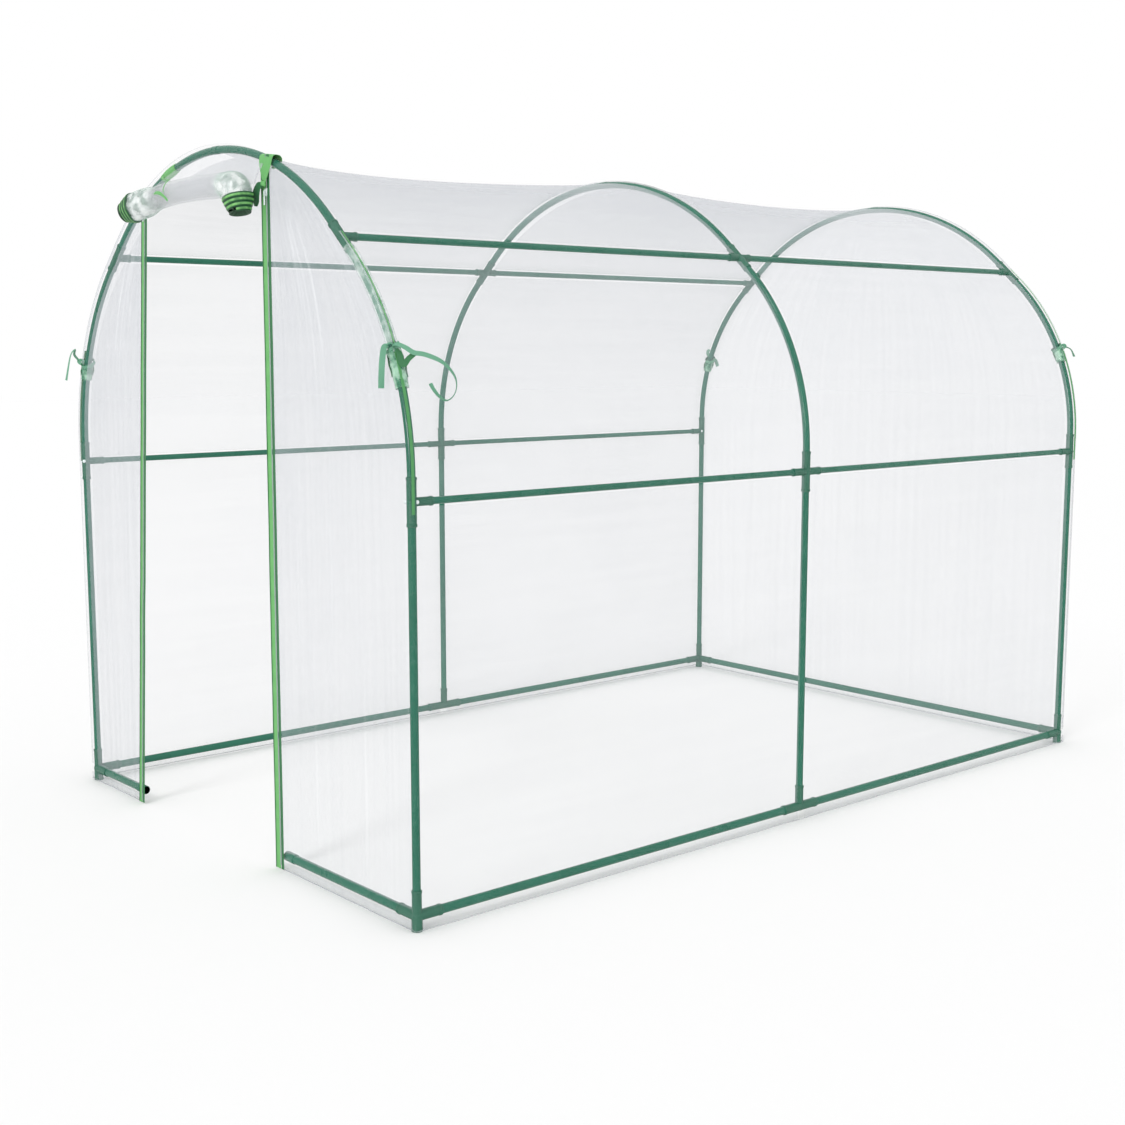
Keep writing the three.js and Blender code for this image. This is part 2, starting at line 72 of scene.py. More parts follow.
class Nodes:
    """A material under construction, with short ways to add the nodes that the finishes share."""

    def __init__(self, name: str) -> None:
        """Starts a material of that name with only a surface output."""
        self.material = bpy.data.materials.new(name)
        self.material.use_nodes = True
        self.tree = self.material.node_tree
        self.tree.nodes.clear()
        self.output = self.tree.nodes.new("ShaderNodeOutputMaterial")

    def add(self, kind: str, **settings: object) -> bpy.types.Node:
        """Adds a node.

        Args:
            kind: the node's type without its ShaderNode prefix.
            settings: properties to set on the node.

        Returns:
            The new node.
        """
        node = self.tree.nodes.new("ShaderNode" + kind)
        for key, value in settings.items():
            setattr(node, key, value)
        return node

    def feed(self, socket: bpy.types.NodeSocket, value: object) -> None:
        """Links a socket, or sets a plain value, on an input."""
        if isinstance(value, bpy.types.NodeSocket):
            self.tree.links.new(value, socket)
        elif value is not None:
            socket.default_value = value

    def math(
        self, operation: str, a: object, b: object = None, clamp: bool = False
    ) -> bpy.types.NodeSocket:
        """A Math node of one or two inputs, and its result."""
        node = self.add("Math", operation=operation, use_clamp=clamp)
        self.feed(node.inputs[0], a)
        self.feed(node.inputs[1], b)
        return node.outputs[0]

    def remap(
        self, value: object, low: float, high: float, to_low: float, to_high: float
    ) -> bpy.types.NodeSocket:
        """Maps low..high smoothly onto to_low..to_high."""
        node = self.add("MapRange", interpolation_type="SMOOTHSTEP")
        for index, number in enumerate((value, low, high, to_low, to_high)):
            self.feed(node.inputs[index], number)
        return node.outputs[0]

    def place(self, stretch: Sequence[float], by_uv: bool = False) -> bpy.types.NodeSocket:
        """Object or UV coordinates, stretched."""
        coordinates = self.add("TexCoord")
        mapping = self.add("Mapping")
        mapping.inputs["Scale"].default_value = stretch
        self.feed(mapping.inputs["Vector"], coordinates.outputs["UV" if by_uv else "Object"])
        return mapping.outputs[0]

    def grain(self, where: object, scale: float, detail: float = 2.0) -> bpy.types.NodeSocket:
        """Noise of a scale at the coordinates given."""
        node = self.add("TexNoise")
        self.feed(node.inputs["Vector"], where)
        node.inputs["Scale"].default_value = scale
        node.inputs["Detail"].default_value = detail
        return node.outputs[0]

    def blend(
        self, amount: object, first: Sequence[float], second: Sequence[float]
    ) -> bpy.types.NodeSocket:
        """A colour between first and second."""
        node = self.add("Mix", data_type="RGBA")
        self.feed(node.inputs["Factor"], amount)
        self.feed(node.inputs[6], (*first, 1))
        self.feed(node.inputs[7], (*second, 1))
        return node.outputs[2]

    def bump(self, height: object, strength: float, distance: float) -> bpy.types.NodeSocket:
        """A bump normal from a height."""
        node = self.add("Bump")
        node.inputs["Strength"].default_value = strength
        node.inputs["Distance"].default_value = distance
        self.feed(node.inputs["Height"], height)
        return node.outputs[0]

    def surface(self, **inputs: object) -> bpy.types.Material:
        """Closes the material with a Principled shader.

        Args:
            inputs: values or sockets by input name, with _ for a space.

        Returns:
            The finished material.
        """
        shader = self.add("BsdfPrincipled")
        for key, value in inputs.items():
            self.feed(shader.inputs[key.replace("_", " ")], value)
        self.feed(self.output.inputs["Surface"], shader.outputs[0])
        return self.material


@dataclass(frozen=True)
class PowderCoat:
    """Satin powder coat on thin steel tube."""

    name: str = "tube_powder_coat"
    dark: tuple = (0.007, 0.094, 0.054)
    light: tuple = (0.016, 0.150, 0.092)
    roughness: float = 0.26

    def material(self) -> bpy.types.Material:
        """The coat's material, with faint orange peel and tone changes."""
        n = Nodes(self.name)
        tone = n.grain(n.place((1, 1, 1)), 9.0, 3.0)
        peel = n.grain(n.place((1, 1, 1)), 900.0, 1.0)
        return n.surface(
            Base_Color=n.blend(tone, self.dark, self.light),
            Roughness=n.remap(tone, 0.3, 0.7, self.roughness - 0.04, self.roughness + 0.08),
            Normal=n.bump(peel, 0.06, 0.0004),
            Specular_IOR_Level=0.20,
            Coat_Weight=0.35,
            Coat_Roughness=0.12,
        )


@dataclass(frozen=True)
class MouldedPlastic:
    """Injection-moulded connector plastic with a fine spark texture."""

    name: str = "connector_plastic"
    dark: tuple = (0.010, 0.090, 0.050)
    light: tuple = (0.018, 0.130, 0.078)
    roughness: float = 0.46

    def material(self) -> bpy.types.Material:
        """The plastic's material."""
        n = Nodes(self.name)
        tone = n.grain(n.place((1, 1, 1)), 25.0, 3.0)
        spark = n.grain(n.place((1, 1, 1)), 1600.0, 2.0)
        return n.surface(
            Base_Color=n.blend(tone, self.dark, self.light),
            Roughness=n.remap(spark, 0.3, 0.7, self.roughness - 0.06, self.roughness + 0.08),
            Normal=n.bump(spark, 0.12, 0.0003),
        )


class Cling(Enum):
    """What a film lies on, which is where it turns clear."""

    HOOD = "hood"
    END = "end"
    FREE = "free"


@dataclass(frozen=True)
class ClearFilm:
    """Clear film with drawn streaks, cloudier between the tubes and at a shallow angle; the crests of its
    streaks take a fold tint, which on the front sheets is paler as a painted highlight along the folds.
    """

    name: str
    cling: Cling
    arch: "ArchLine"
    streaks: tuple = (60.0, 1.2, 1.0)
    haze: float = 0.094
    contrast: float = 0.25
    tint: tuple = (0.52, 0.54, 0.58)
    fold_highlight_tint: tuple = (0.52, 0.54, 0.58)
    clearing: float = 0.92
    face: int = 0
    rise: float = 1.25
    roughness: float = 0.30
    weld: float = 0.009

    def _near(self, n: Nodes, distance: object, reach: float) -> bpy.types.NodeSocket:
        """1 within reach of a tube's line, fading quickly to 0 past it."""
        return n.remap(n.math("ABSOLUTE", distance), reach, reach * 1.3, 1.0, 0.0)

    def _beside(
        self, n: Nodes, y: object, at: float, side: object, rise: object
    ) -> bpy.types.NodeSocket:
        """The strip of hood that lies against an arch tube and wraps a little way round it."""
        shift = n.math("MULTIPLY", n.math("MULTIPLY", side, 0.0118), rise)
        away = n.math("ADD", n.math("SUBTRACT", y, at), shift)
        return self._near(n, n.math("DIVIDE", away, rise), 0.0135)

    def _height(self, n: Nodes) -> bpy.types.NodeSocket:
        """The height above the ground."""
        xyz = n.add("SeparateXYZ")
        n.feed(xyz.inputs[0], n.add("TexCoord").outputs["Object"])
        return xyz.outputs[2]

    def _clear_lines(self, n: Nodes) -> bpy.types.NodeSocket | None:
        """How closely the film lies on a tube, from 0 to 1."""
        if self.cling is Cling.FREE:
            return None
        arch = self.arch
        xyz = n.add("SeparateXYZ")
        n.feed(xyz.inputs[0], n.add("TexCoord").outputs["Object"])
        x, y, z = xyz.outputs
        side = n.math("SIGN", x)
        if self.cling is Cling.HOOD:
            above = n.math("MAXIMUM", n.math("SUBTRACT", z, 1.25), 0.0)
            slant = n.math("SUBTRACT", 1.55, n.math("MULTIPLY", side, 0.95))
            rise = n.math("ADD", n.math("MULTIPLY", n.math("MULTIPLY", above, above), slant), 1.0)
            lines = [self._beside(n, y, at, side, rise) for at in arch.stations]
            lines.append(n.math("LESS_THAN", y, arch.stations[0] + 0.004))
            lines.append(self._near(n, n.math("SUBTRACT", n.math("SUBTRACT", z, arch.rail_z),
                                              n.math("MULTIPLY", side, 0.005)), 0.013))
            heights = ((arch.waist_z, 0.0105), (arch.purlin_z, 0.0120))
            lines += [self._near(n, n.math("SUBTRACT", z, at), reach) for at, reach in heights]
        else:
            x = n.math("ADD", x, 0.017 * self.face)
            lines = [self._near(n, self._to_bend(n, x, z), 0.013)]
            lines.append(self._near(n, self._to_crown(n, x, z), 0.013))
            lines.append(
                self._near(n, n.math("SUBTRACT", z, arch.rail_z - 0.005 * self.face), 0.013)
            )
        total = lines[0]
        for line in lines[1:]:
            total = n.math("MAXIMUM", total, line)
        return total

    def _to_bend(self, n: Nodes, x: object, z: object) -> bpy.types.NodeSocket:
        """Distance from the leg and the shoulder bend."""
        arch = self.arch
        across = n.math("SUBTRACT", n.math("ABSOLUTE", x), arch.half_span - arch.bend)
        up = n.math("MAXIMUM", n.math("SUBTRACT", z, arch.bend_z), 0.0)
        long = n.math("SQRT", n.math("ADD", n.math("POWER", across, 2.0), n.math("POWER", up, 2.0)))
        inside = n.math("LESS_THAN", n.math("ABSOLUTE", x), arch.purlin_x - 0.01)
        return n.math("ADD", n.math("SUBTRACT", long, arch.bend), inside)

    def _to_crown(self, n: Nodes, x: object, z: object) -> bpy.types.NodeSocket:
        """Distance from the crown, far away outside its reach."""
        arch = self.arch
        up = n.math("SUBTRACT", z, arch.crown_z)
        long = n.math("SQRT", n.math("ADD", n.math("POWER", x, 2.0), n.math("POWER", up, 2.0)))
        past = n.math("GREATER_THAN", n.math("ABSOLUTE", x), arch.purlin_x)
        below = n.math("LESS_THAN", z, arch.crown_z)
        return n.math("ADD", n.math("SUBTRACT", long, arch.crown), n.math("ADD", past, below))

    def material(self) -> bpy.types.Material:
        """The film's material."""
        n = Nodes(self.name)
        streak = n.grain(n.place(self.streaks, by_uv=True), 1.0, 4.0)
        cloud = n.grain(n.place((1, 1, 1), by_uv=True), 2.2, 3.0)
        facing = n.add("LayerWeight")
        facing.inputs["Blend"].default_value = 0.5
        shallow = n.math("MULTIPLY", n.math("POWER", facing.outputs["Facing"], 3.0), 0.36)
        spread = self.haze * self.contrast
        marks = n.remap(
            n.math("MULTIPLY", streak, cloud), 0.12, 0.42, self.haze - spread, self.haze + spread
        )
        marks = n.math("MULTIPLY", marks, n.remap(self._height(n), 0.5, 1.9, 0.86, self.rise))
        alpha = n.math("ADD", marks, shallow)
        clear = self._clear_lines(n)
        if clear is not None:
            alpha = n.math(
                "MULTIPLY", alpha,
                n.math("SUBTRACT", 1.0, n.math("MULTIPLY", clear, self.clearing))
            )
            alpha = n.math(
                "ADD", alpha, n.remap(self._height(n), self.weld * 0.6, self.weld, 0.30, 0.0)
            )
        # Painted highlight: the streak crests take the fold tint, paler than the film's tint on the front
        # sheets, as if the folds caught the light.
        fold_highlights = n.remap(streak, 0.58, 0.70, 0.0, 1.0)
        return n.surface(
            Base_Color=n.blend(fold_highlights, self.tint, self.fold_highlight_tint),
            Roughness=self.roughness,
            Normal=n.bump(streak, 0.25, 0.002),
            Alpha=n.math("MINIMUM", alpha, 1.0),
        )


@dataclass(frozen=True)
class CrumpledFilm:
    """Many layers of film pressed together: milky, creased and green at the edge."""

    name: str
    thin: float = 0.16
    thick: float = 0.46
    pale: tuple = (0.93, 0.96, 0.95)
    dull: tuple = (0.50, 0.60, 0.56)
    rim: tuple = (0.30, 0.48, 0.38)
    smooth: tuple | None = None
    calm: float = 0.11
    rim_cover: float = 0.20

    def material(self) -> bpy.types.Material:
        """The crumpled film's material."""
        n = Nodes(self.name)
        where = n.place((1, 1, 1))
        crease = n.add("TexNoise", noise_type="RIDGED_MULTIFRACTAL")
        n.feed(crease.inputs["Vector"], where)
        crease.inputs["Scale"].default_value = 26.0
        crease.inputs["Detail"].default_value = 4.0
        patch = n.grain(where, 34.0, 3.0)
        facing = n.add("LayerWeight")
        facing.inputs["Blend"].default_value = 0.5
        edge = n.remap(facing.outputs["Facing"], 0.55, 0.95, 0.0, 1.0)
        body = n.blend(n.remap(patch, 0.40, 0.60, 0.0, 1.0), self.dull, self.pale)
        mix = n.add("Mix", data_type="RGBA")
        n.feed(mix.inputs["Factor"], edge)
        n.feed(mix.inputs[6], body)
        n.feed(mix.inputs[7], (*self.rim, 1))
        cover = n.remap(
            n.math("ADD", patch, n.math("MULTIPLY", edge, 0.35)), 0.35, 0.75, self.thin, self.thick
        )
        colour, relief = mix.outputs[2], crease.outputs[0]
        if self.smooth is not None:
            away = self._away_from_ends(n)
            calm = n.add("Mix", data_type="RGBA")
            for index, value in (("Factor", away), (6, colour), (7, (0.60, 0.62, 0.64, 1))):
                n.feed(calm.inputs[index], value)
            colour = calm.outputs[2]
            even = n.math("ADD", n.math("MULTIPLY", edge, self.rim_cover), self.calm)
            plain = n.math("MULTIPLY", away, n.math("SUBTRACT", cover, even))
            cover = n.math("SUBTRACT", cover, plain)
            relief = n.math(
                "MULTIPLY", relief, n.math("SUBTRACT", 1.0, n.math("MULTIPLY", away, 0.9))
            )
        return n.surface(
            Base_Color=colour,
            Roughness=0.16,
            Normal=n.bump(relief, 0.5, 0.004),
            Alpha=cover,
        )

    def _away_from_ends(self, n: Nodes) -> bpy.types.NodeSocket:
        """0 at the crumpled ends of the roll, 1 along its smooth middle."""
        xyz = n.add("SeparateXYZ")
        n.feed(xyz.inputs[0], n.add("TexCoord").outputs["Object"])
        left, right = self.smooth
        after = n.remap(xyz.outputs[0], left - 0.02, left + 0.05, 0.0, 1.0)
        before = n.remap(xyz.outputs[0], right - 0.03, right + 0.015, 1.0, 0.0)
        return n.math("MULTIPLY", after, before)


@dataclass(frozen=True)
class Webbing:
    """Woven polypropylene tape, its rib and edges read from the piece's own UV map in metres."""

    name: str
    body: tuple
    edge: tuple
    roughness: float = 0.55

    def material(self) -> bpy.types.Material:
        """The webbing's material."""
        n = Nodes(self.name)
        where = n.place((1, 1, 1), by_uv=True)
        weave = n.add("TexWave", wave_type="BANDS", bands_direction="DIAGONAL")
        n.feed(weave.inputs["Vector"], where)
        weave.inputs["Scale"].default_value = 240.0
        weave.inputs["Distortion"].default_value = 1.2
        tone = n.grain(where, 30.0, 3.0)
        mix = n.math("MULTIPLY", n.math("ADD", weave.outputs[1], tone), 0.5)
        return n.surface(
            Base_Color=n.blend(mix, self.edge, self.body),
            Roughness=self.roughness,
            Normal=n.bump(weave.outputs[1], 0.3, 0.0006),
        )


@dataclass(frozen=True)
class RolledTape:
    """Tape seen edge by edge across its UV map in metres: a bright middle, with painted shade darkening
    both edges of each turn where it meets the next.
    """

    name: str
    width: float
    share: float = 0.19
    bright: tuple = (0.16, 0.44, 0.12)
    edge_shade: tuple = (0.005, 0.075, 0.020)

    def material(self) -> bpy.types.Material:
        """The tape's material."""
        n = Nodes(self.name)
        uv = n.add("SeparateXYZ")
        n.feed(uv.inputs[0], n.place((1, 1, 1), by_uv=True))
        middle = n.math("ABSOLUTE", n.math("SUBTRACT", uv.outputs[0], self.width * 0.52))
        tone = n.grain(n.place((1, 1, 1)), 60.0, 3.0)
        # Painted shade: the colour darkens towards both edges of the tape, standing for the shadow in the
        # gaps between stacked turns.
        band = n.remap(
            n.math("DIVIDE", middle, self.width), self.share - 0.06, self.share + 0.06, 1.0, 0.0
        )
        return n.surface(
            Base_Color=n.blend(
                n.math("MULTIPLY", band, n.remap(tone, 0.3, 0.6, 0.35, 1.0)), self.edge_shade,
                self.bright
            ),
            Roughness=0.42,
        )


@dataclass(frozen=True)
class MouldedZip:
    """Glossy moulded zip parts."""

    name: str
    colour: tuple
    roughness: float = 0.22

    def material(self) -> bpy.types.Material:
        """The zip part's material."""
        n = Nodes(self.name)
        wear = n.grain(n.place((1, 1, 1)), 120.0, 3.0)
        pale = tuple(min(1.0, c * 1.25) for c in self.colour)
        return n.surface(
            Base_Color=n.blend(wear, self.colour, pale),
            Roughness=n.remap(wear, 0.3, 0.7, self.roughness, self.roughness + 0.15),
        )


# ---------------------------------------------------------------- shared shapes


def finish_piece(
    bm: bmesh.types.BMesh, name: str, material: bpy.types.Material, smooth: bool = True,
) -> bpy.types.Object:
    """Turns a bmesh into a finished piece at the origin.

    Args:
        bm: the shape, which is freed.
        name: the piece's name.
        material: its finish.
        smooth: whether its faces are shaded smooth, with sharp edges kept.

    Returns:
        The new object.
    """
    mesh = bpy.data.meshes.new(name)
    bm.to_mesh(mesh)
    bm.free()
    piece = bpy.data.objects.new(name, mesh)
    bpy.context.scene.collection.objects.link(piece)
    mesh.materials.append(material)
    if smooth:
        mesh.shade_smooth()
        mesh.set_sharp_from_angle(angle=math.radians(38))
    return piece


def finish_still(
    bm: bmesh.types.BMesh, name: str, material: bpy.types.Material, smooth: bool = True,
) -> bpy.types.Object:
    """Finishes a piece and lets it ride the still body.

    Args:
        bm: the shape, which is freed.
        name: the piece's name.
        material: its finish.
        smooth: whether its faces are shaded smooth, with sharp edges kept.

    Returns:
        The new object.
    """
    piece = finish_piece(bm, name, material, smooth)
    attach(piece, ROOT)
    return piece


def frames_along(points: Sequence[Vector], guide: Vector) -> list[Matrix]:
    """Frames that follow a path without twisting.

    Args:
        points: the path.
        guide: roughly where the frames' X axis points at the start.

    Returns:
        One matrix for each point, with Z along the path.
    """
    frames = []
    side = guide
    for index, here in enumerate(points):
        before = points[max(index - 1, 0)]
        after = points[min(index + 1, len(points) - 1)]
        along = (after - before).normalized()
        side = (side - along * side.dot(along)).normalized()
        other = along.cross(side)
        frames.append(Matrix((
            (side.x, other.x, along.x, here.x),
            (side.y, other.y, along.y, here.y),
            (side.z, other.z, along.z, here.z),
            (0, 0, 0, 1),
        )))
    return frames


def circle(radius: float, steps: int) -> list[tuple[float, float]]:
    """Points round a circle."""
    return [
        (radius * math.cos(math.tau * i / steps), radius * math.sin(math.tau * i / steps))
        for i in range(steps)
    ]


def strip(width: float, thick: float) -> list[tuple[float, float]]:
    """The section of a flat tape, thinner at its edges."""
    w, t = width / 2, thick / 2
    return [(-w, -t * 0.4), (-w * 0.8, -t), (0, -t), (w * 0.8, -t), (w, -t * 0.4),
            (w, t * 0.4), (w * 0.8, t), (0, t), (-w * 0.8, t), (-w, t * 0.4)]


def sweep(
    bm: bmesh.types.BMesh, section: Sequence[tuple[float, float]], frames: Sequence[Matrix],
) -> None:
    """Extrudes a closed section through frames and caps both ends.

    Args:
        bm: the mesh to add to.
        section: the section's corners in the frames' X and Y.
        frames: where the section passes, which may scale it.
    """
    uv = bm.loops.layers.uv.verify()
    ring = [bm.verts.new(frames[0] @ Vector((x, y, 0))) for x, y in section]
    cap = bm.faces.new(ring)
    edges = list(cap.edges)
    made_faces = [cap]
    run = 0.0
    for before, after in zip(frames, frames[1:]):
        made = bmesh.ops.extrude_edge_only(bm, edges=edges)["geom"]
        verts = [g for g in made if isinstance(g, bmesh.types.BMVert)]
        fresh = set(verts)
        faces = [g for g in made if isinstance(g, bmesh.types.BMFace)]
        edges = [
            g for g in made
            if isinstance(g, bmesh.types.BMEdge) and g.verts[0] in fresh and g.verts[1] in fresh
        ]
        bmesh.ops.transform(bm, matrix=after @ before.inverted(), verts=verts)
        step = (after.translation - before.translation).length
        back = before.inverted()
        ahead = after.inverted()
        for face in faces:
            for loop in face.loops:
                is_new = loop.vert in fresh
                local = (ahead if is_new else back) @ loop.vert.co
                loop[uv].uv = (local.x, run + (step if is_new else 0.0))
        run += step
        made_faces += faces
    end = bmesh.ops.contextual_create(bm, geom=edges)["faces"]
    bmesh.ops.recalc_face_normals(bm, faces=made_faces + end)


def between(a: Vector, b: Vector, steps: int) -> list[Vector]:
    """Evenly spaced points from a to b."""
    return [a.lerp(b, i / steps) for i in range(steps + 1)]


def smooth_path(knots: Sequence[Vector], steps: int = 8) -> list[Vector]:
    """A smooth curve through the knots, Catmull-Rom, with steps points a span."""
    padded = [knots[0] * 2 - knots[1], *knots, knots[-1] * 2 - knots[-2]]
    path = []
    for p0, p1, p2, p3 in zip(padded, padded[1:], padded[2:], padded[3:]):
        for i in range(steps):
            t = i / steps
            path.append(0.5 * (
                2 * p1 + (p2 - p0) * t + (2 * p0 - 5 * p1 + 4 * p2 - p3) * t * t
                + (3 * p1 - p0 - 3 * p2 + p3) * t ** 3
            ))
    return [*path, knots[-1].copy()]


def cloth_grid(
    across: int, along: int, where: Callable[[float, float], Vector], size: tuple[float, float],
) -> bmesh.types.BMesh:
    """A grid whose vertices are laid on a surface.

    Args:
        across: squares in the first direction.
        along: squares in the second direction.
        where: gives the place for two shares from 0 to 1.
        size: the flat size in metres, which scales the UV map.

    Returns:
        The new mesh, with its doubles merged and its normals consistent.
    """
    bm = bmesh.new()
    bmesh.ops.create_grid(bm, x_segments=across, y_segments=along, size=0.5)
    uv = bm.loops.layers.uv.verify()
    for face in bm.faces:
        for loop in face.loops:
            loop[uv].uv = ((loop.vert.co.x + 0.5) * size[0], (loop.vert.co.y + 0.5) * size[1])
    for vert in bm.verts:
        vert.co = where(vert.co.x + 0.5, vert.co.y + 0.5)
    bmesh.ops.remove_doubles(bm, verts=bm.verts, dist=1e-5)
    return bm


def let_light_through(piece: bpy.types.Object) -> None:
    """Clear film casts no shadow worth drawing, so it casts none."""
    piece.visible_shadow = False
    piece.visible_diffuse = False


def thicken(piece: bpy.types.Object, thick: float, offset: float = 0.0) -> None:
    """Gives a sheet its thickness with a Solidify modifier."""
    wall = piece.modifiers.new("thickness", "SOLIDIFY")
    wall.thickness = thick
    wall.offset = offset


# ---------------------------------------------------------------- the line of an arch


@dataclass
class ArchLine:
    """The centre line that every arch, seam and sheet follows, in metres."""

    bend: float = 0.750
    turn: float = math.radians(48)
    sleeve: float = 0.060
    half_span: float = 0.0
    waist_z: float = 0.0
    rail_z: float = 0.0
    tube: float = 0.0
    stations: tuple = ()

    def __post_init__(self) -> None:
        """Reads the driving places from the frame and works out the rest."""
        low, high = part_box("leg_front_right")
        self.half_span = (low.x + high.x) / 2
        self.tube = (high.x - low.x) / 2
        self.stations = tuple(
            (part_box(f"leg_{where}_right")[0].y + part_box(f"leg_{where}_right")[1].y) / 2
            for where in ("front", "middle", "back")
        )
        self.waist_z = self._mid_z("waist_rail_front_right")
        self.rail_z = self._mid_z("base_rail_front_right")
        cos, sin = math.cos(self.turn), math.sin(self.turn)
        self.bend_z = self.waist_z + self.sleeve
        end = (self.half_span - self.bend + self.bend * cos, self.bend_z + self.bend * sin)
        self.purlin_x = end[0] - self.sleeve * sin
        self.purlin_z = end[1] + self.sleeve * cos
        crown_x = self.purlin_x - self.sleeve * sin
        self.crown = crown_x / cos
        self.crown_z = self.purlin_z + self.sleeve * cos - self.crown * sin
        self.spans = (self.bend_z, self.bend * self.turn, 2 * self.sleeve,
                      self.crown * (math.pi / 2 - self.turn))
        self.half_length = sum(self.spans)

    def _mid_z(self, node: str) -> float:
        """The height of a horizontal tube's axis."""
        low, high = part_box(node)
        return (low.z + high.z) / 2

    def at(self, run: float, offset: float = 0.0) -> tuple[Vector, Vector]:
        """A point of the line and its outward normal, in the X-Z plane.

        Args:
            run: the distance along the line from the right foot.
            offset: how far outside the line the point is.

        Returns:
            The point and the normal, both with Y = 0.
        """
        side = 1 if run <= self.half_length else -1
        left = run if side > 0 else 2 * self.half_length - run
        cos, sin = math.cos(self.turn), math.sin(self.turn)
        if left <= self.spans[0]:
            point, normal = Vector((self.half_span, 0, left)), Vector((1, 0, 0))
        elif left <= self.spans[0] + self.spans[1]:
            angle = (left - self.spans[0]) / self.bend
            normal = Vector((math.cos(angle), 0, math.sin(angle)))
            point = Vector((self.half_span - self.bend, 0, self.bend_z)) + normal * self.bend
        elif left <= sum(self.spans[:3]):
            normal = Vector((cos, 0, sin))
            past = left - self.spans[0] - self.spans[1] - self.sleeve
            point = Vector((self.purlin_x, 0, self.purlin_z)) + Vector((-sin, 0, cos)) * past
        else:
            angle = self.turn + (left - sum(self.spans[:3])) / self.crown
            normal = Vector((math.cos(angle), 0, math.sin(angle)))
            point = Vector((0, 0, self.crown_z)) + normal * self.crown
        point = point + normal * offset
        return Vector((side * point.x, 0, point.z)), Vector((side * normal.x, 0, normal.z))

    def half_width(self, z: float, offset: float) -> float:
        """How far from the middle the line, moved out by offset, is at a height."""
        if z <= self.bend_z:
            return self.half_span + offset
        low, high = 0.0, self.half_length
        for _ in range(40):
            middle = (low + high) / 2
            if self.at(middle, offset)[0].z < z:
                low = middle
            else:
                high = middle
        return max(self.at(low, offset)[0].x, 0.0)

    def height(self, x: float, offset: float) -> float:
        """The line's height above a place across the crown or the shoulder."""
        low, high = 0.0, self.half_length
        for _ in range(40):
            middle = (low + high) / 2
            if self.at(middle, offset)[0].x > abs(x):
                low = middle
            else:
                high = middle
        return self.at(low, offset)[0].z

    def run_at_height(self, z: float) -> float:
        """The distance along the line at which it reaches a height on the right side."""
        low, high = 0.0, self.half_length
        for _ in range(40):
            middle = (low + high) / 2
            low, high = (middle, high) if self.at(middle)[0].z < z else (low, middle)
        return low


# ---------------------------------------------------------------- tubes and connectors


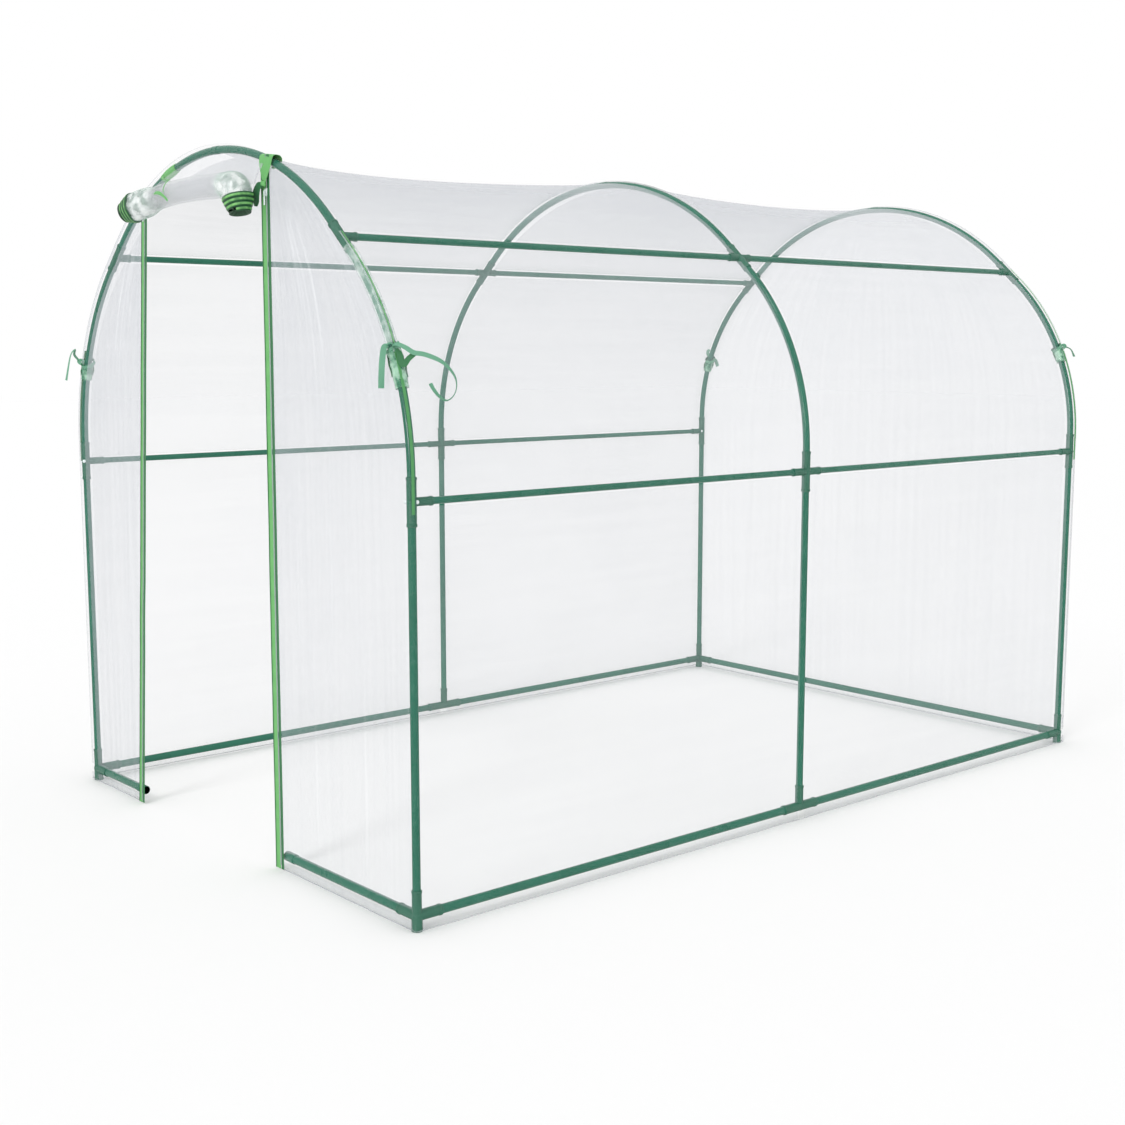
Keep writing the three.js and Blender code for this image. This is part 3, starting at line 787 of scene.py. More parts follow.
@dataclass
class TubeFrame:
    """The push-fit frame: smooth tubes, moulded connectors and their rivets."""

    arch: ArchLine
    coat: bpy.types.Material
    plastic: bpy.types.Material
    rivet: bpy.types.Material
    facets: int = 28
    socket_wall: float = 0.0019
    lip: float = 0.0011
    lip_length: float = 0.007
    fillet: float = 0.0012

    def build(self) -> None:
        """Builds every tube and connector, each standing for its own CAD node."""
        for name in sorted(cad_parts):
            if name.startswith(
                ("leg_", "base_rail_", "waist_rail_", "purlin_front", "purlin_back")
            ):
                self._straight(name)
        for station, where in zip(self.arch.stations, ("front", "middle", "back")):
            self._bent(station, where)
        for side, _ in SIDES:
            self._stub(side)
        self._connectors()
        LOG.info("frame built")

    def _dress(
        self, bm: bmesh.types.BMesh, node: str, material: bpy.types.Material
    ) -> None:
        """Finishes a piece that stands for one CAD node and rides on the frame."""
        piece = finish_piece(bm, node + "_shape", material)
        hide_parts(node)
        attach(piece, ROOT)

    def _ends(self, node: str) -> tuple[Vector, Vector, float]:
        """The two ends of a straight tube's axis, and its radius, from its box."""
        low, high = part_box(node)
        size = high - low
        axis = max(range(3), key=lambda i: size[i])
        middle = (low + high) / 2
        a, b = middle.copy(), middle.copy()
        a[axis], b[axis] = low[axis], high[axis]
        return a, b, min(size) / 2

    def _straight(self, node: str) -> None:
        """A straight tube between its CAD node's ends."""
        a, b, radius = self._ends(node)
        bm = bmesh.new()
        sweep(bm, circle(radius, self.facets), frames_along([a, b], self._guide(b - a)))
        self._dress(bm, node, self.coat)

    def _guide(self, along: Vector) -> Vector:
        """A direction that isn't along the tube."""
        return Vector((1, 0, 0)) if abs(along.normalized().x) < 0.9 else Vector((0, 1, 0))

    def _bent(self, y: float, where: str) -> None:
        """The two shoulder tubes and the crown tube of one arch."""
        arch = self.arch
        stop = arch.waist_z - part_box(f"leg_{where}_right")[1].z
        purlin_run = sum(arch.spans[:2]) + arch.sleeve
        for side, sign in SIDES:
            path = self._arch_path(arch.waist_z + stop, purlin_run - stop, 28, y, sign)
            bm = bmesh.new()
            sweep(bm, circle(arch.tube, self.facets), frames_along(path, Vector((0, 1, 0))))
            self._dress(bm, f"shoulder_tube_{where}_{side}", self.coat)
        end = 2 * arch.half_length - purlin_run - stop
        path = self._arch_path(purlin_run + stop, end, 48, y, 1)
        bm = bmesh.new()
        sweep(bm, circle(arch.tube, self.facets), frames_along(path, Vector((0, 1, 0))))
        self._ridge_sleeve(bm, y)
        self._dress(bm, f"crown_tube_{where}", self.coat)

    def _arch_path(self, start: float, end: float, steps: int, y: float, sign: int) -> list[Vector]:
        """Points along the arch line, mirrored for the left side."""
        path = []
        for i in range(steps + 1):
            point = self.arch.at(start + (end - start) * i / steps)[0]
            path.append(Vector((sign * point.x, y, point.z)))
        return path

    def _ridge_sleeve(self, bm: bmesh.types.BMesh, y: float) -> None:
        """The swaged joint line where two half crowns push together."""
        middle = self.arch.half_length
        path = self._arch_path(middle - 0.030, middle, 6, y, 1)
        rings = frames_along(path, Vector((0, 1, 0)))
        sweep(bm, circle(self.arch.tube + 0.0007, self.facets), rings)

    def _stub(self, side: str) -> None:
        """A base stub beside the doorway with its end cap."""
        node = f"base_stub_{side}"
        low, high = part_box(node)
        sign = 1 if side == "right" else -1
        tube = (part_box("base_rail_front_right")[1].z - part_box("base_rail_front_right")[0].z) / 2
        y, z = (low.y + high.y) / 2, (low.z + high.z) / 2
        outer, free = (high.x, low.x) if sign > 0 else (low.x, high.x)
        cap = (high.z - low.z) / 2
        bm = bmesh.new()
        a, b = Vector((outer, y, z)), Vector((free, y, z))
        sweep(bm, circle(tube, self.facets), frames_along([a, b], Vector((0, 1, 0))))
        collar = [b + Vector((sign * d, 0, 0)) for d in (0.048, 0.047, 0.002, 0.0)]
        radii = (cap - 0.0008, cap, cap, cap - 0.0012)
        self._turned(bm, collar, radii)
        self._dress(bm, node, self.coat)

    def _turned(
        self, bm: bmesh.types.BMesh, points: Sequence[Vector], radii: Sequence[float]
    ) -> None:
        """A turned body: circles of given radii along a straight axis."""
        frames = frames_along(points, self._guide(points[-1] - points[0]))
        scaled = [f @ Matrix.Diagonal((r, r, 1, 1)) for f, r in zip(frames, radii)]
        sweep(bm, circle(1.0, self.facets), scaled)

    def _socket(
        self, bm: bmesh.types.BMesh, centre: Vector, along: Vector, length: float, tube: float
    ) -> None:
        """One socket of a connector, with a thicker lip at its mouth."""
        wall = tube + self.socket_wall
        lip = wall + self.lip
        turned = (
            (-wall * 0.6, wall * 0.9), (0.0, wall), (length - self.lip_length - self.fillet, wall),
            (
                length - self.lip_length, lip
            ), (length - self.fillet, lip), (length, lip - self.fillet),
        )
        points = [centre + along * run for run, _ in turned]
        self._turned(bm, points, [radius for _, radius in turned])

    def _connectors(self) -> None:
        """Builds the moulded connectors from the sizes of their CAD nodes."""
        arch = self.arch
        rail = self._ends("base_rail_front_right")[2]
        bar = self._ends("waist_rail_front_right")[2]
        lean = Vector((-math.sin(arch.turn), 0, math.cos(arch.turn)))
        for y, where in zip(arch.stations, ("front", "middle", "back")):
            ways = [Vector((0, s, 0)) for s in (1, -1) if not (where == "back" and s > 0)
                    and not (where == "front" and s < 0)]
            for side, sign in SIDES:
                base = Vector((sign * arch.half_span, y, arch.rail_z))
                self._joint(self._base_name(where, side), base, [
                    (UP, 0.068, arch.tube), *[(w, 0.075, rail) for w in ways],
                    *([] if where == "middle" else [(Vector((-sign, 0, 0)), 0.075, rail)]),
                ], rail, foot=where != "middle")
                waist = Vector((sign * arch.half_span, y, arch.waist_z))
                self._joint(f"waist_joint_{where}_{side}", waist, [
                    (
                        UP, 0.062, arch.tube
                    ), (-UP, 0.062, arch.tube), *[(w, 0.062, bar) for w in ways],
                ], arch.tube, rivets=where != "middle")
                tilt = Vector((sign * lean.x, 0, lean.z))
                purlin = Vector((sign * arch.purlin_x, y, arch.purlin_z))
                self._joint(f"purlin_joint_{where}_{side}", purlin, [
                    (
                        tilt, 0.052, arch.tube
                    ), (-tilt, 0.052, arch.tube), *[(w, 0.046, bar) for w in ways],
                ], arch.tube)

    def _base_name(self, where: str, side: str) -> str:
        """The CAD name of a connector on the ground."""
        return f"base_tee_{side}" if where == "middle" else f"base_corner_{where}_{side}"

    def _joint(
        self, node: str, centre: Vector, sockets: Sequence[
            tuple[Vector, float, float]
        ], core: float,
        foot: bool = False, rivets: bool = False,
    ) -> None:
        """One moulded connector.

        Args:
            node: the CAD node it stands for.
            centre: where its sockets meet.
            sockets: direction, length and tube radius of each socket.
            core: tube radius that sizes its round middle.
            foot: whether it has a foot down to the ground.
            rivets: whether rivet heads show on it.
        """
        bm = bmesh.new()
        bmesh.ops.create_uvsphere(
            bm, u_segments=self.facets, v_segments=16, radius=core + self.socket_wall * 1.3,
            matrix=Matrix.Translation(centre),
        )
        for along, length, tube in sockets:
            self._socket(bm, centre, along, length, tube)
        if foot:
            sole = core + self.socket_wall
            points = [
                Vector((centre.x, centre.y, z)) for z in (centre.z, 0.0075, 0.006, 0.0012, 0.0)
            ]
            self._turned(bm, points, (sole, sole, sole + 0.0006, sole + 0.0006, sole - 0.0006))
        self._dress(bm, node, self.plastic)
        if rivets:
            self._rivets(node, centre)

    def _rivets(self, node: str, centre: Vector) -> None:
        """Two pale pin heads, one on each side of the upright socket."""
        bm = bmesh.new()
        reach = self.arch.tube + self.socket_wall
        for turn in (1, -1):
            across = 0.654 if centre.x > 0 else -0.654
            spot = centre + Vector((turn * across, turn * 0.756, 0)) * (reach + 0.0006)
            bmesh.ops.create_uvsphere(
                bm, u_segments=14, v_segments=8, radius=0.0056, matrix=Matrix.Translation(spot),
            )
        finish_still(bm, node.replace("joint", "rivets"), self.rivet)


# ---------------------------------------------------------------- film cover


@dataclass
class DoorEdges:
    """The two slanting edges of the doorway, from the CAD zip joints and stubs."""

    top_z: float = 1.93
    left: tuple = (-0.575, -0.405)
    right: tuple = (0.300, 0.312)

    def x(self, side: str, z: float) -> float:
        """Where a door edge is at a height."""
        bottom, top = self.right if side == "right" else self.left
        return bottom + (top - bottom) * z / self.top_z


@dataclass
class FilmCover:
    """The hood over the arches, the back sheet and the two front sheets."""

    arch: ArchLine
    edges: DoorEdges
    hood_film: bpy.types.Material
    back_film: bpy.types.Material
    front_film: bpy.types.Material
    inset: float = 0.0157
    film: float = 0.0003
    hem_z: float = 0.004
    sag: float = 0.044
    ripple: float = 0.0007
    fold: float = 0.0050

    def build(self) -> None:
        self._hood()
        self._back()
        for side, sign in SIDES:
            self._front(side, sign)
        LOG.info("cover built")

    def _bay_share(self, y: float) -> float:
        """0 at an arch, 1 in the middle of a bay."""
        front, middle, back = self.arch.stations
        low, high = (front, middle) if y < middle else (middle, back)
        t = min(max((y - low) / (high - low), 0.0), 1.0)
        return math.sin(math.pi * t)

    def _slack(self, y: float) -> float:
        """How much further than usual the roof sags, most just behind the front arch."""
        front, middle = self.arch.stations[:2]
        return 1.0 + 0.9 * max(0.0, (middle - y) / (middle - front)) ** 2

    def _hood_offset(self, run: float, y: float) -> float:
        """How far the hood stands off the arch line at a place."""
        arch = self.arch
        left = min(run, 2 * arch.half_length - run)
        lines = (arch.rail_z, arch.waist_z, arch.spans[0] + arch.spans[1] + arch.sleeve)
        free = min(1.0, min(abs(left - line) for line in lines) / 0.16)
        bay = self._bay_share(y)
        roof_run = arch.half_length - lines[2]
        roof = math.sin(min(max((left - lines[2]) / roof_run, 0.0), 1.0) * math.pi / 2)
        long_wave = noise.noise(Vector((run * 9.0, y * 0.6, 2.1)))
        soft_wave = noise.noise(Vector((run * 2.6, y * 1.9, 7.7)))
        puckers = noise.noise(Vector((run * 30.0, 1.0, 3.3))) * 0.0008 * (1.0 - min(1.0, bay * 3.0))
        offset = self.inset + abs(puckers)
        offset += bay * (self.ripple * long_wave + 0.004 * soft_wave * free * (1 - roof))
        offset -= self.sag * self._slack(y) * math.sqrt(bay) * roof ** 1.5 + 0.003 * bay * free
        flare = max(0.0, 1.0 - left / 0.045)
        return offset + flare * (0.004 + 0.003 * noise.noise(Vector((y * 9.0, run, 0.0))))

    def _hood(self) -> None:
        """The one sheet that makes the roof and both sides."""
        arch = self.arch
        total = 2 * arch.half_length
        low_y = arch.stations[0] - self.inset
        high_y = arch.stations[2] + self.inset

        def where(a: float, b: float) -> Vector:
            """The place of the sheet at a share across and a share along."""
            run = self.hem_z + (total - 2 * self.hem_z) * a
            y = low_y + (high_y - low_y) * b
            point = arch.at(run, self._hood_offset(run, y))[0]
            return Vector((point.x, y, point.z))

        size = (total, high_y - low_y)
        bm = cloth_grid(260, 120, where, size)
        bmesh.ops.recalc_face_normals(bm, faces=bm.faces)
        piece = finish_piece(bm, "cover_hood_film", self.hood_film)
        self._declare(
            piece, "cover_hood"
        )

    def _declare(
        self, piece: bpy.types.Object, node: str,
    ) -> None:
        """Faces a sheet outward, thickens it, lets light through it, hides its CAD node and puts it on the
        still body.
        """
        self._face_out(piece)
        thicken(piece, self.film)
        let_light_through(piece)
        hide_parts(node)
        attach(piece, ROOT)

    def _face_out(self, piece: bpy.types.Object) -> None:
        """Turns a sheet's faces away from the middle of the tunnel."""
        centre = Vector((0, self.arch.stations[1], 0.9))
        total = sum((p.center - centre).dot(p.normal) * p.area for p in piece.data.polygons)
        if total < 0:
            piece.data.flip_normals()

    def _end_fold(self, x: float, z: float, edge_gap: float, seed: float) -> float:
        """How far an end sheet waves out of its plane."""
        fine = noise.noise(Vector((x * 34.0, z * 0.9, seed)))
        broad = noise.noise(Vector((x * 7.0, z * 1.3, seed + 4.0)))
        hold = min(1.0, max(0.0, edge_gap - 0.03) / 0.12)
        return hold * (self.fold * 0.35 * fine + self.fold * broad)

    def _back(self) -> None:
        """The back sheet, one piece from side to side."""
        arch = self.arch
        reach = self.inset - 0.0004
        top = arch.at(arch.half_length, reach)[0].z

        def where(a: float, b: float) -> Vector:
            """The place of the sheet at a share across and a share along."""
            z = self.hem_z + (top - self.hem_z) * (1 - (1 - b) ** 1.7)
            wide = arch.half_width(z, reach)
            x = -wide + 2 * wide * a
            gap = min(wide - abs(x), (top - z) * 2)
            return Vector((x, arch.stations[2] + self.inset + self._end_fold(x, z, gap, 11.0), z))

        bm = cloth_grid(90, 110, where, (2 * arch.half_span, top))
        piece = finish_piece(bm, "cover_back_film", self.back_film)
        self._declare(piece, "cover_back")

    def _front(self, side: str, sign: int) -> None:
        """A front sheet between a door edge and the arch."""
        arch = self.arch
        reach = self.inset - 0.0004
        top = arch.height(self.edges.x(side, 1.95), reach)

        def where(a: float, b: float) -> Vector:
            """The place of the sheet at a share across and a share along."""
            z = self.hem_z + (top - self.hem_z) * (1 - (1 - b) ** 1.7)
            door = self.edges.x(side, z)
            wide = sign * arch.half_width(z, reach)
            if (wide - door) * sign < 0:
                wide = door
            x = door + (wide - door) * a
            gap = min(abs(wide - x), (top - z) * 2)
            wave = self._end_fold(x, z, gap, 3.0 + sign)
            ease = min(1.0, abs(x - door) / 0.05)
            return Vector((x, arch.stations[0] - self.inset - wave * (0.25 + 0.75 * ease), z))

        bm = cloth_grid(56, 120, where, (0.6, top))
        piece = finish_piece(bm, f"cover_front_film_{side}", self.front_film)
        width = abs(sign * arch.half_span - self.edges.x(side, 0.5)) + reach + 0.03
        self._declare(piece, f"cover_front_{side}")


# ---------------------------------------------------------------- sewn tape and zips


@dataclass
class Binding:
    """Welts and green tape sewn along the corner seams and both door edges, with the zip chain. The pale
    welts are partly a painted highlight along the arch tubes, and the zip tape's dark colour is painted
    shade on the right side of each door edge.
    """

    arch: ArchLine
    edges: DoorEdges
    tape: bpy.types.Material
    dark_tape_and_shade: bpy.types.Material
    teeth: bpy.types.Material
    welt_highlight: bpy.types.Material
    gathered_reflection: bpy.types.Material
    seam_tape: bpy.types.Material
    inset: float = 0.0164
    thick: float = 0.0011
    door_tape: float = 0.024
    edge_cord: float = 0.0030
    zip_tape_painted_shade: float = 0.013
    tooth_pitch: float = 0.0030

    def build(self) -> None:
        """Builds the tapes and both zip chains."""
        whole = 2 * self.arch.half_length
        tie = self.arch.run_at_height(1.46)
        waist = self.arch.waist_z
        for where, station, face in (("front", 0, -1), ("back", 2, 1)):
            y = self.arch.stations[station]
            top = self.arch.run_at_height(self.arch.purlin_z)
            # Painted highlight: the pale welt beside each arch seam is partly the film's weld and partly a
            # highlight laid along the tube.
            self._along(f"seam_welt_{where}", y + face * 0.0115, (tie, top), 0.005, self.welt_highlight)
            self._along(f"seam_thread_{where}", y + face * 0.0045, (tie, top), 0.0024, self.tape)
            self._along(
                f"seam_tape_{where}_right", y + face * 0.0070, (waist - 0.03, tie), 0.009,
                self.seam_tape
            )
            self._along(
                f"seam_tape_{where}_left", y + face * 0.0070, (whole - tie, whole - waist), 0.007,
                self.seam_tape
            )
        for side, _ in SIDES:
            self._door_edge(side)
        self._gathered()
        LOG.info("tapes built")

    def _gathered(self) -> None:
        """The creased film pulled round the front arch between its tie and the purlin; its pale colour is
        partly the milky film and partly a painted reflection on the film over the tube.
        """
        arch = self.arch
        start, end = arch.run_at_height(1.485), arch.run_at_height(arch.purlin_z - 0.03)
        path, radii = [], []
        for i in range(41):
            share = i / 40
            point = arch.at(start + (end - start) * share)[0]
            path.append(Vector((point.x, arch.stations[0], point.z)))
            radii.append(arch.tube + 0.0042 + 0.0008 * noise.noise(Vector((share * 9.0, 2.0, 0))))
        frames = frames_along(path, Vector((0, 1, 0)))
        bm = bmesh.new()
        sweep(
            bm, circle(1.0, 28), [f @ Matrix.Diagonal((r, r, 1, 1)) for f, r in zip(frames, radii)]
        )
        piece = finish_piece(bm, "seam_gathered_film", self.gathered_reflection)
        let_light_through(piece)
        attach(piece, ROOT)

    def _along(
        self, name: str, y: float, runs: tuple[float, float], width: float, material: bpy.types.Material,
    ) -> None:
        """A flat tape on the outside of the hood, along an arch.

        Args:
            name: the piece's name.
            y: the middle of the tape along the tunnel.
            runs: where it starts and ends along the arch line.
            width: the tape's width.
            material: its finish.
        """
        steps = max(12, round((runs[1] - runs[0]) * 34))
        frames = []
        for i in range(steps + 1):
            run = runs[0] + (runs[1] - runs[0]) * i / steps
            wander = 0.0011 * noise.noise(Vector((run * 5.0, y, width)))
            point, normal = self.arch.at(run, self.inset + width * 0.04)
            out = Vector((0, 1, 0))
            along = out.cross(normal)
            frames.append(Matrix((
                (out.x, normal.x, along.x, point.x),
                (out.y, normal.y, along.y, y + wander),
                (out.z, normal.z, along.z, point.z),
                (0, 0, 0, 1),
            )))
        bm = bmesh.new()
        sweep(bm, strip(width, self.thick), frames)
        finish_still(bm, name, material)

    def _edge_path(self, side: str, shift: float, out: float, steps: int = 60) -> list[Vector]:
        """Points along a door edge, moved sideways and out, with a slight wander."""
        arch = self.arch
        top = arch.height(self.edges.x(side, 1.95), self.inset) - 0.002
        y = arch.stations[0] - self.inset - out
        path = []
        for i in range(steps + 1):
            z = 0.004 + (top - 0.004) * i / steps
            hold = math.sin(math.pi * min(1.0, z / 1.8))
            wander = 0.0022 * hold * noise.noise(
                Vector((z * 3.1, 5.0 if side == "right" else 9.0, 0))
            )
            lift = 0.0012 * hold * noise.noise(Vector((z * 4.0, 1.0, 6.0)))
            path.append(Vector((self.edges.x(side, z) + shift + wander, y - abs(lift), z)))
        return path

    def _band(self, bm: bmesh.types.BMesh, path: Sequence[Vector], width: float) -> None:
        """A flat tape along a path, facing the front."""
        sweep(bm, strip(width, self.thick), frames_along(path, Vector((1, 0, 0))))

    def _door_edge(self, side: str) -> None:
        """The bright bound edge, the zip tape beside it and the row of teeth between; the zip tape's dark
        colour is painted shade on the right side of the edge.
        """
        wide = self.door_tape * (1.0 if side == "right" else 0.72)
        bm = bmesh.new()
        self._band(bm, self._edge_path(side, -wide * 0.5, 0.0012), wide)
        finish_still(bm, f"door_binding_{side}", self.tape)
        # Painted shade: the zip tape right of the teeth is dark so that the door edge looks shaded on that
        # side; the thin dark cord lies along the binding's other edge.
        bm = bmesh.new()
        self._band(bm, self._edge_path(side, -wide + self.edge_cord * 0.5, 0.0026), self.edge_cord)
        self._band(bm, self._edge_path(side, self.zip_tape_painted_shade * 0.5 + 0.003, 0.0006), self.zip_tape_painted_shade)
        finish_still(bm, f"zip_tape_painted_shade_{side}", self.dark_tape_and_shade)
        self._teeth(side)

    def _teeth(self, side: str) -> None:
        """A row of small moulded teeth along the zip tape."""
        bm = bmesh.new()
        path = self._edge_path(side, 0.0018, 0.0022, 640)
        for here in path[4:]:
            bmesh.ops.create_cube(
                bm, size=1.0,
                matrix=Matrix.Translation(here) @ Matrix.Diagonal(
                    (0.0034, 0.0016, self.tooth_pitch * 0.62, 1)
                ),
            )
        finish_still(bm, f"zip_teeth_{side}", self.teeth, smooth=False)


@dataclass
class ZipPull:
    """A zip slider with its hinged pull tab, on one door edge."""

    side: str
    shell: bpy.types.Material

    def build(self) -> None:
        """Builds the slider and the tab over their CAD nodes."""
        self._slider()
        self._tab()

    def _rounded(self, low: Vector, high: Vector, bevel: float) -> bmesh.types.BMesh:
        """A box with rounded edges."""
        bm = bmesh.new()
        size = high - low
        matrix = Matrix.Translation((low + high) / 2) @ Matrix.Diagonal((*size, 1))
        bmesh.ops.create_cube(bm, size=1.0, matrix=matrix)
        bmesh.ops.bevel(
            bm, geom=bm.edges[:], offset=bevel, segments=3, profile=0.5, affect="EDGES", material=-1,
        )
        return bm

    def _slider(self) -> None:
        """The slider's body, with a waisted plate and a bridge for the tab."""
        node = f"zip_slider_{self.side}"
        low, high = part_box(node)
        depth = 0.0036
        bm = self._rounded(Vector((low.x, high.y - depth, low.z)), high, 0.0013)
        for vert in bm.verts:
            share = (vert.co.z - low.z) / (high.z - low.z)
            middle = (low.x + high.x) / 2
            vert.co.x = middle + (vert.co.x - middle) * (0.72 + 0.28 * share)
        centre = (low + high) / 2
        radius = 0.0011
        arc = [
            Vector(
                (centre.x, high.y - depth - 0.0052 * math.sin(a), centre.z + 0.0058 * math.cos(a))
            )
            for a in (math.pi * i / 12 for i in range(13))
        ]
        sweep(bm, circle(radius, 12), frames_along(arc, Vector((1, 0, 0))))
        piece = finish_piece(bm, node + "_shell", self.shell)
        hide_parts(node)
        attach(piece, node)

    def _tab(self) -> None:
        """The pull tab: a tapered loop with a grip."""
        node = f"zip_tab_{self.side}"
        low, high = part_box(node)
        middle_x, middle_y = (low.x + high.x) / 2, (low.y + high.y) / 2
        top = high.z - 0.0022
        loop = []
        for i in range(17):
            angle = math.tau * i / 16
            wide = 0.0030 + 0.0004 * math.cos(angle)
            loop.append(Vector((
                middle_x + wide * math.sin(angle), middle_y, top - 0.006 + 0.0072 * math.cos(angle)
            )))
        bm = bmesh.new()
        sweep(bm, circle(0.0009, 10), frames_along(loop, Vector((0, 1, 0))))
        bar = self._rounded(
            Vector((middle_x - 0.0034, middle_y - 0.0009, low.z)),
            Vector((middle_x + 0.0034, middle_y + 0.0009, top - 0.012)), 0.0006,
        )
        holder = bpy.data.meshes.new("grip")
        bar.to_mesh(holder)
        bar.free()
        bm.from_mesh(holder)
        bpy.data.meshes.remove(holder)
        piece = finish_piece(bm, node + "_loop", self.shell)
        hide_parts(node)
        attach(piece, node)


# ---------------------------------------------------------------- rolled door


@dataclass
class RolledDoor:
    """The door panel rolled up under the arch, its tape-bound ends and its two straps."""

    arch: ArchLine
    edges: DoorEdges
    roll_film: bpy.types.Material
    band_film: bpy.types.Material
    tape: bpy.types.Material
    dark_tape_and_shade: bpy.types.Material
    ring_tapes: dict[str, bpy.types.Material]
    shade_tape: bpy.types.Material
    turns: float = 3.25
    core: float = 0.015
    body: float = 0.036
    mouth: float = 0.0425
    nest: float = 0.0085
    tape_width: float = 0.0130
    telescope: float = 0.0118
    sleeve_x: float = -0.262
    film: float = 0.0003

    def __post_init__(self) -> None:
        """Lays the roll's centre line inside its CAD solid."""
        low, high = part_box("door_roll")
        self.y = (low.y + high.y) / 2
        self.z = (low.z + high.z) / 2
        knots = [
            (
                0.090, -0.029, -0.024
            ), (0.112, -0.020, -0.017), (0.155, -0.007, -0.007), (0.240, 0.0, 0.003),
            (
                0.360, 0.002, 0.007
            ), (0.470, 0.004, 0.006), (0.545, 0.007, 0.004), (0.592, 0.008, -0.003),
            (0.609, 0.008, -0.015), (0.612, 0.008, -0.025),
        ]
        line = [Vector((low.x + x, self.y + dy, self.z + dz)) for x, dy, dz in knots]
        self.line = smooth_path(line, 10)
        runs = [0.0]
        for a, b in zip(self.line, self.line[1:]):
            runs.append(runs[-1] + (b - a).length)
        self.runs = runs
        self.length = runs[-1]
        self.frames = frames_along(self.line, Vector((0, 1, 0)))

    def _frame(self, run: float) -> Matrix:
        """The frame at a distance along the roll, carried straight on past its ends."""
        if run <= 0.0:
            return Matrix.Translation(self.frames[0].col[2].xyz * run) @ self.frames[0]
        if run >= self.length:
            past = run - self.length
            return Matrix.Translation(self.frames[-1].col[2].xyz * past) @ self.frames[-1]
        index = next(i for i, r in enumerate(self.runs) if r >= run)
        low, high = self.runs[index - 1], self.runs[index]
        t = (run - low) / (high - low)
        return self.frames[index - 1].lerp(self.frames[index], t)

    def _radius(self, run: float, share: float) -> float:
        """The spiral's radius for a share of the way in, wider towards both bound ends."""
        near = min(run, self.length - run)
        flare = min(1.0, max(0.0, 1.0 - (near - 0.02) / 0.085))
        flare = flare * flare * (3 - 2 * flare)
        outer = self.body + (self.mouth - self.body) * flare
        inner = self.core + (self.mouth - self.nest - self.core) * flare
        past = max(0.0, -near) / (self.telescope * self.turns)
        return outer + (inner - outer) * share - 0.004 * past * past

    def _point(self, run: float, share: float, lift: float, crumple: float) -> Vector:
        """A point of the spiral sheet."""
        angle = 0.9 + math.tau * self.turns * share
        radius = self._radius(run, share) + lift
        seed = Vector((run * 17.0, math.cos(angle) * 1.6, math.sin(angle) * 1.6))
        ends = min(1.0, max(0.15, 1.0 - (min(run, self.length - run) - 0.05) / 0.06))
        radius += crumple * ends * noise.noise(seed) * (1 - 0.5 * share)
        return self._frame(run) @ Vector((radius * math.cos(angle), radius * math.sin(angle), 0))

    def build(self) -> None:
        """Builds the roll, its tape ends, the door film above it and the straps."""
        self._roll()
        for side in ("left", "right"):
            self._ring(side)
        self._band()
        self._right_strap()
        self._left_strap()
        LOG.info("rolled door built")

    def _ends(self, share: float) -> tuple[float, float]:
        """Where the spiral starts and stops along the roll for a share of the way in."""
        reach = self.telescope * self.turns * share
        return -reach, self.length + reach

    def _roll(self) -> None:
        """The film of the roll, one spiral sheet."""
        def where(a: float, b: float) -> Vector:
            """The place of the sheet at a share across and a share along."""
            start, end = self._ends(b)
            return self._point(start + (end - start) * a, b, 0.0, 0.0050)

        unrolled = math.tau * self.turns * (self.body + self.core) / 2
        bm = cloth_grid(90, 150, where, (self.length, unrolled))
        bmesh.ops.recalc_face_normals(bm, faces=bm.faces)
        piece = finish_piece(bm, "door_roll_film", self.roll_film)
        thicken(piece, self.film)
        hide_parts("door_roll")
        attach(piece, "door_roll")

    def _ring(self, side: str) -> None:
        """The bound edge of the rolled panel: a spiral of tape, each turn stepped out past the last."""
        def where(a: float, b: float) -> Vector:
            """The place of the sheet at a share across and a share along."""
            start, end = self._ends(b)
            run = start - self.tape_width * a if side == "left" else end + self.tape_width * a
            bulge = 0.0022 * math.sin(math.pi * min(1.0, a * 1.15)) - 0.0030 * max(0.0, a - 0.8)
            return self._point(run, b, bulge, 0.0022)

        bm = cloth_grid(6, 190, where, (self.tape_width, 1.0))
        bmesh.ops.recalc_face_normals(bm, faces=bm.faces)
        piece = finish_piece(bm, f"door_roll_tape_{side}", self.ring_tapes[side])
        thicken(piece, 0.0012)
        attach(piece, "door_roll")
        self._mouth(side)

    def _mouth(self, side: str) -> None:
        """A dark pleated disc that closes the inside of one end: painted shade, standing for the shadowed
        hollow of the roll.
        """
        reach = self.telescope * self.turns
        out = -reach - 0.0105 if side == "left" else self.length + reach + 0.0105
        frame_out = self._frame(out)
        inward = 1 if side == "left" else -1
        radius = self.mouth - self.nest - 0.004
        bm = bmesh.new()
        bmesh.ops.create_circle(bm, cap_ends=True, cap_tris=False, segments=48, radius=radius)
        outer = bm.faces[:]
        for share, depth in ((0.80, 0.003), (0.55, 0.010), (0.30, 0.012), (0.12, 0.009)):
            bmesh.ops.inset_individual(bm, faces=outer, thickness=radius * 0.2, depth=0.0)
            ring = {v for f in outer for v in f.verts}
            for vert in ring:
                angle = math.atan2(vert.co.y, vert.co.x)
                level = Vector((math.cos(angle), math.sin(angle), 0)) * radius * share
                pleat = 0.0016 * math.sin(angle * 9 + share * 5)
                vert.co = Vector((level.x, level.y, inward * (depth + pleat)))
        bmesh.ops.transform(bm, matrix=frame_out, verts=bm.verts)
        bmesh.ops.recalc_face_normals(bm, faces=bm.faces)
        piece = finish_piece(bm, f"door_roll_mouth_{side}", self.shade_tape)
        thicken(piece, 0.0012)
        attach(piece, "door_roll")

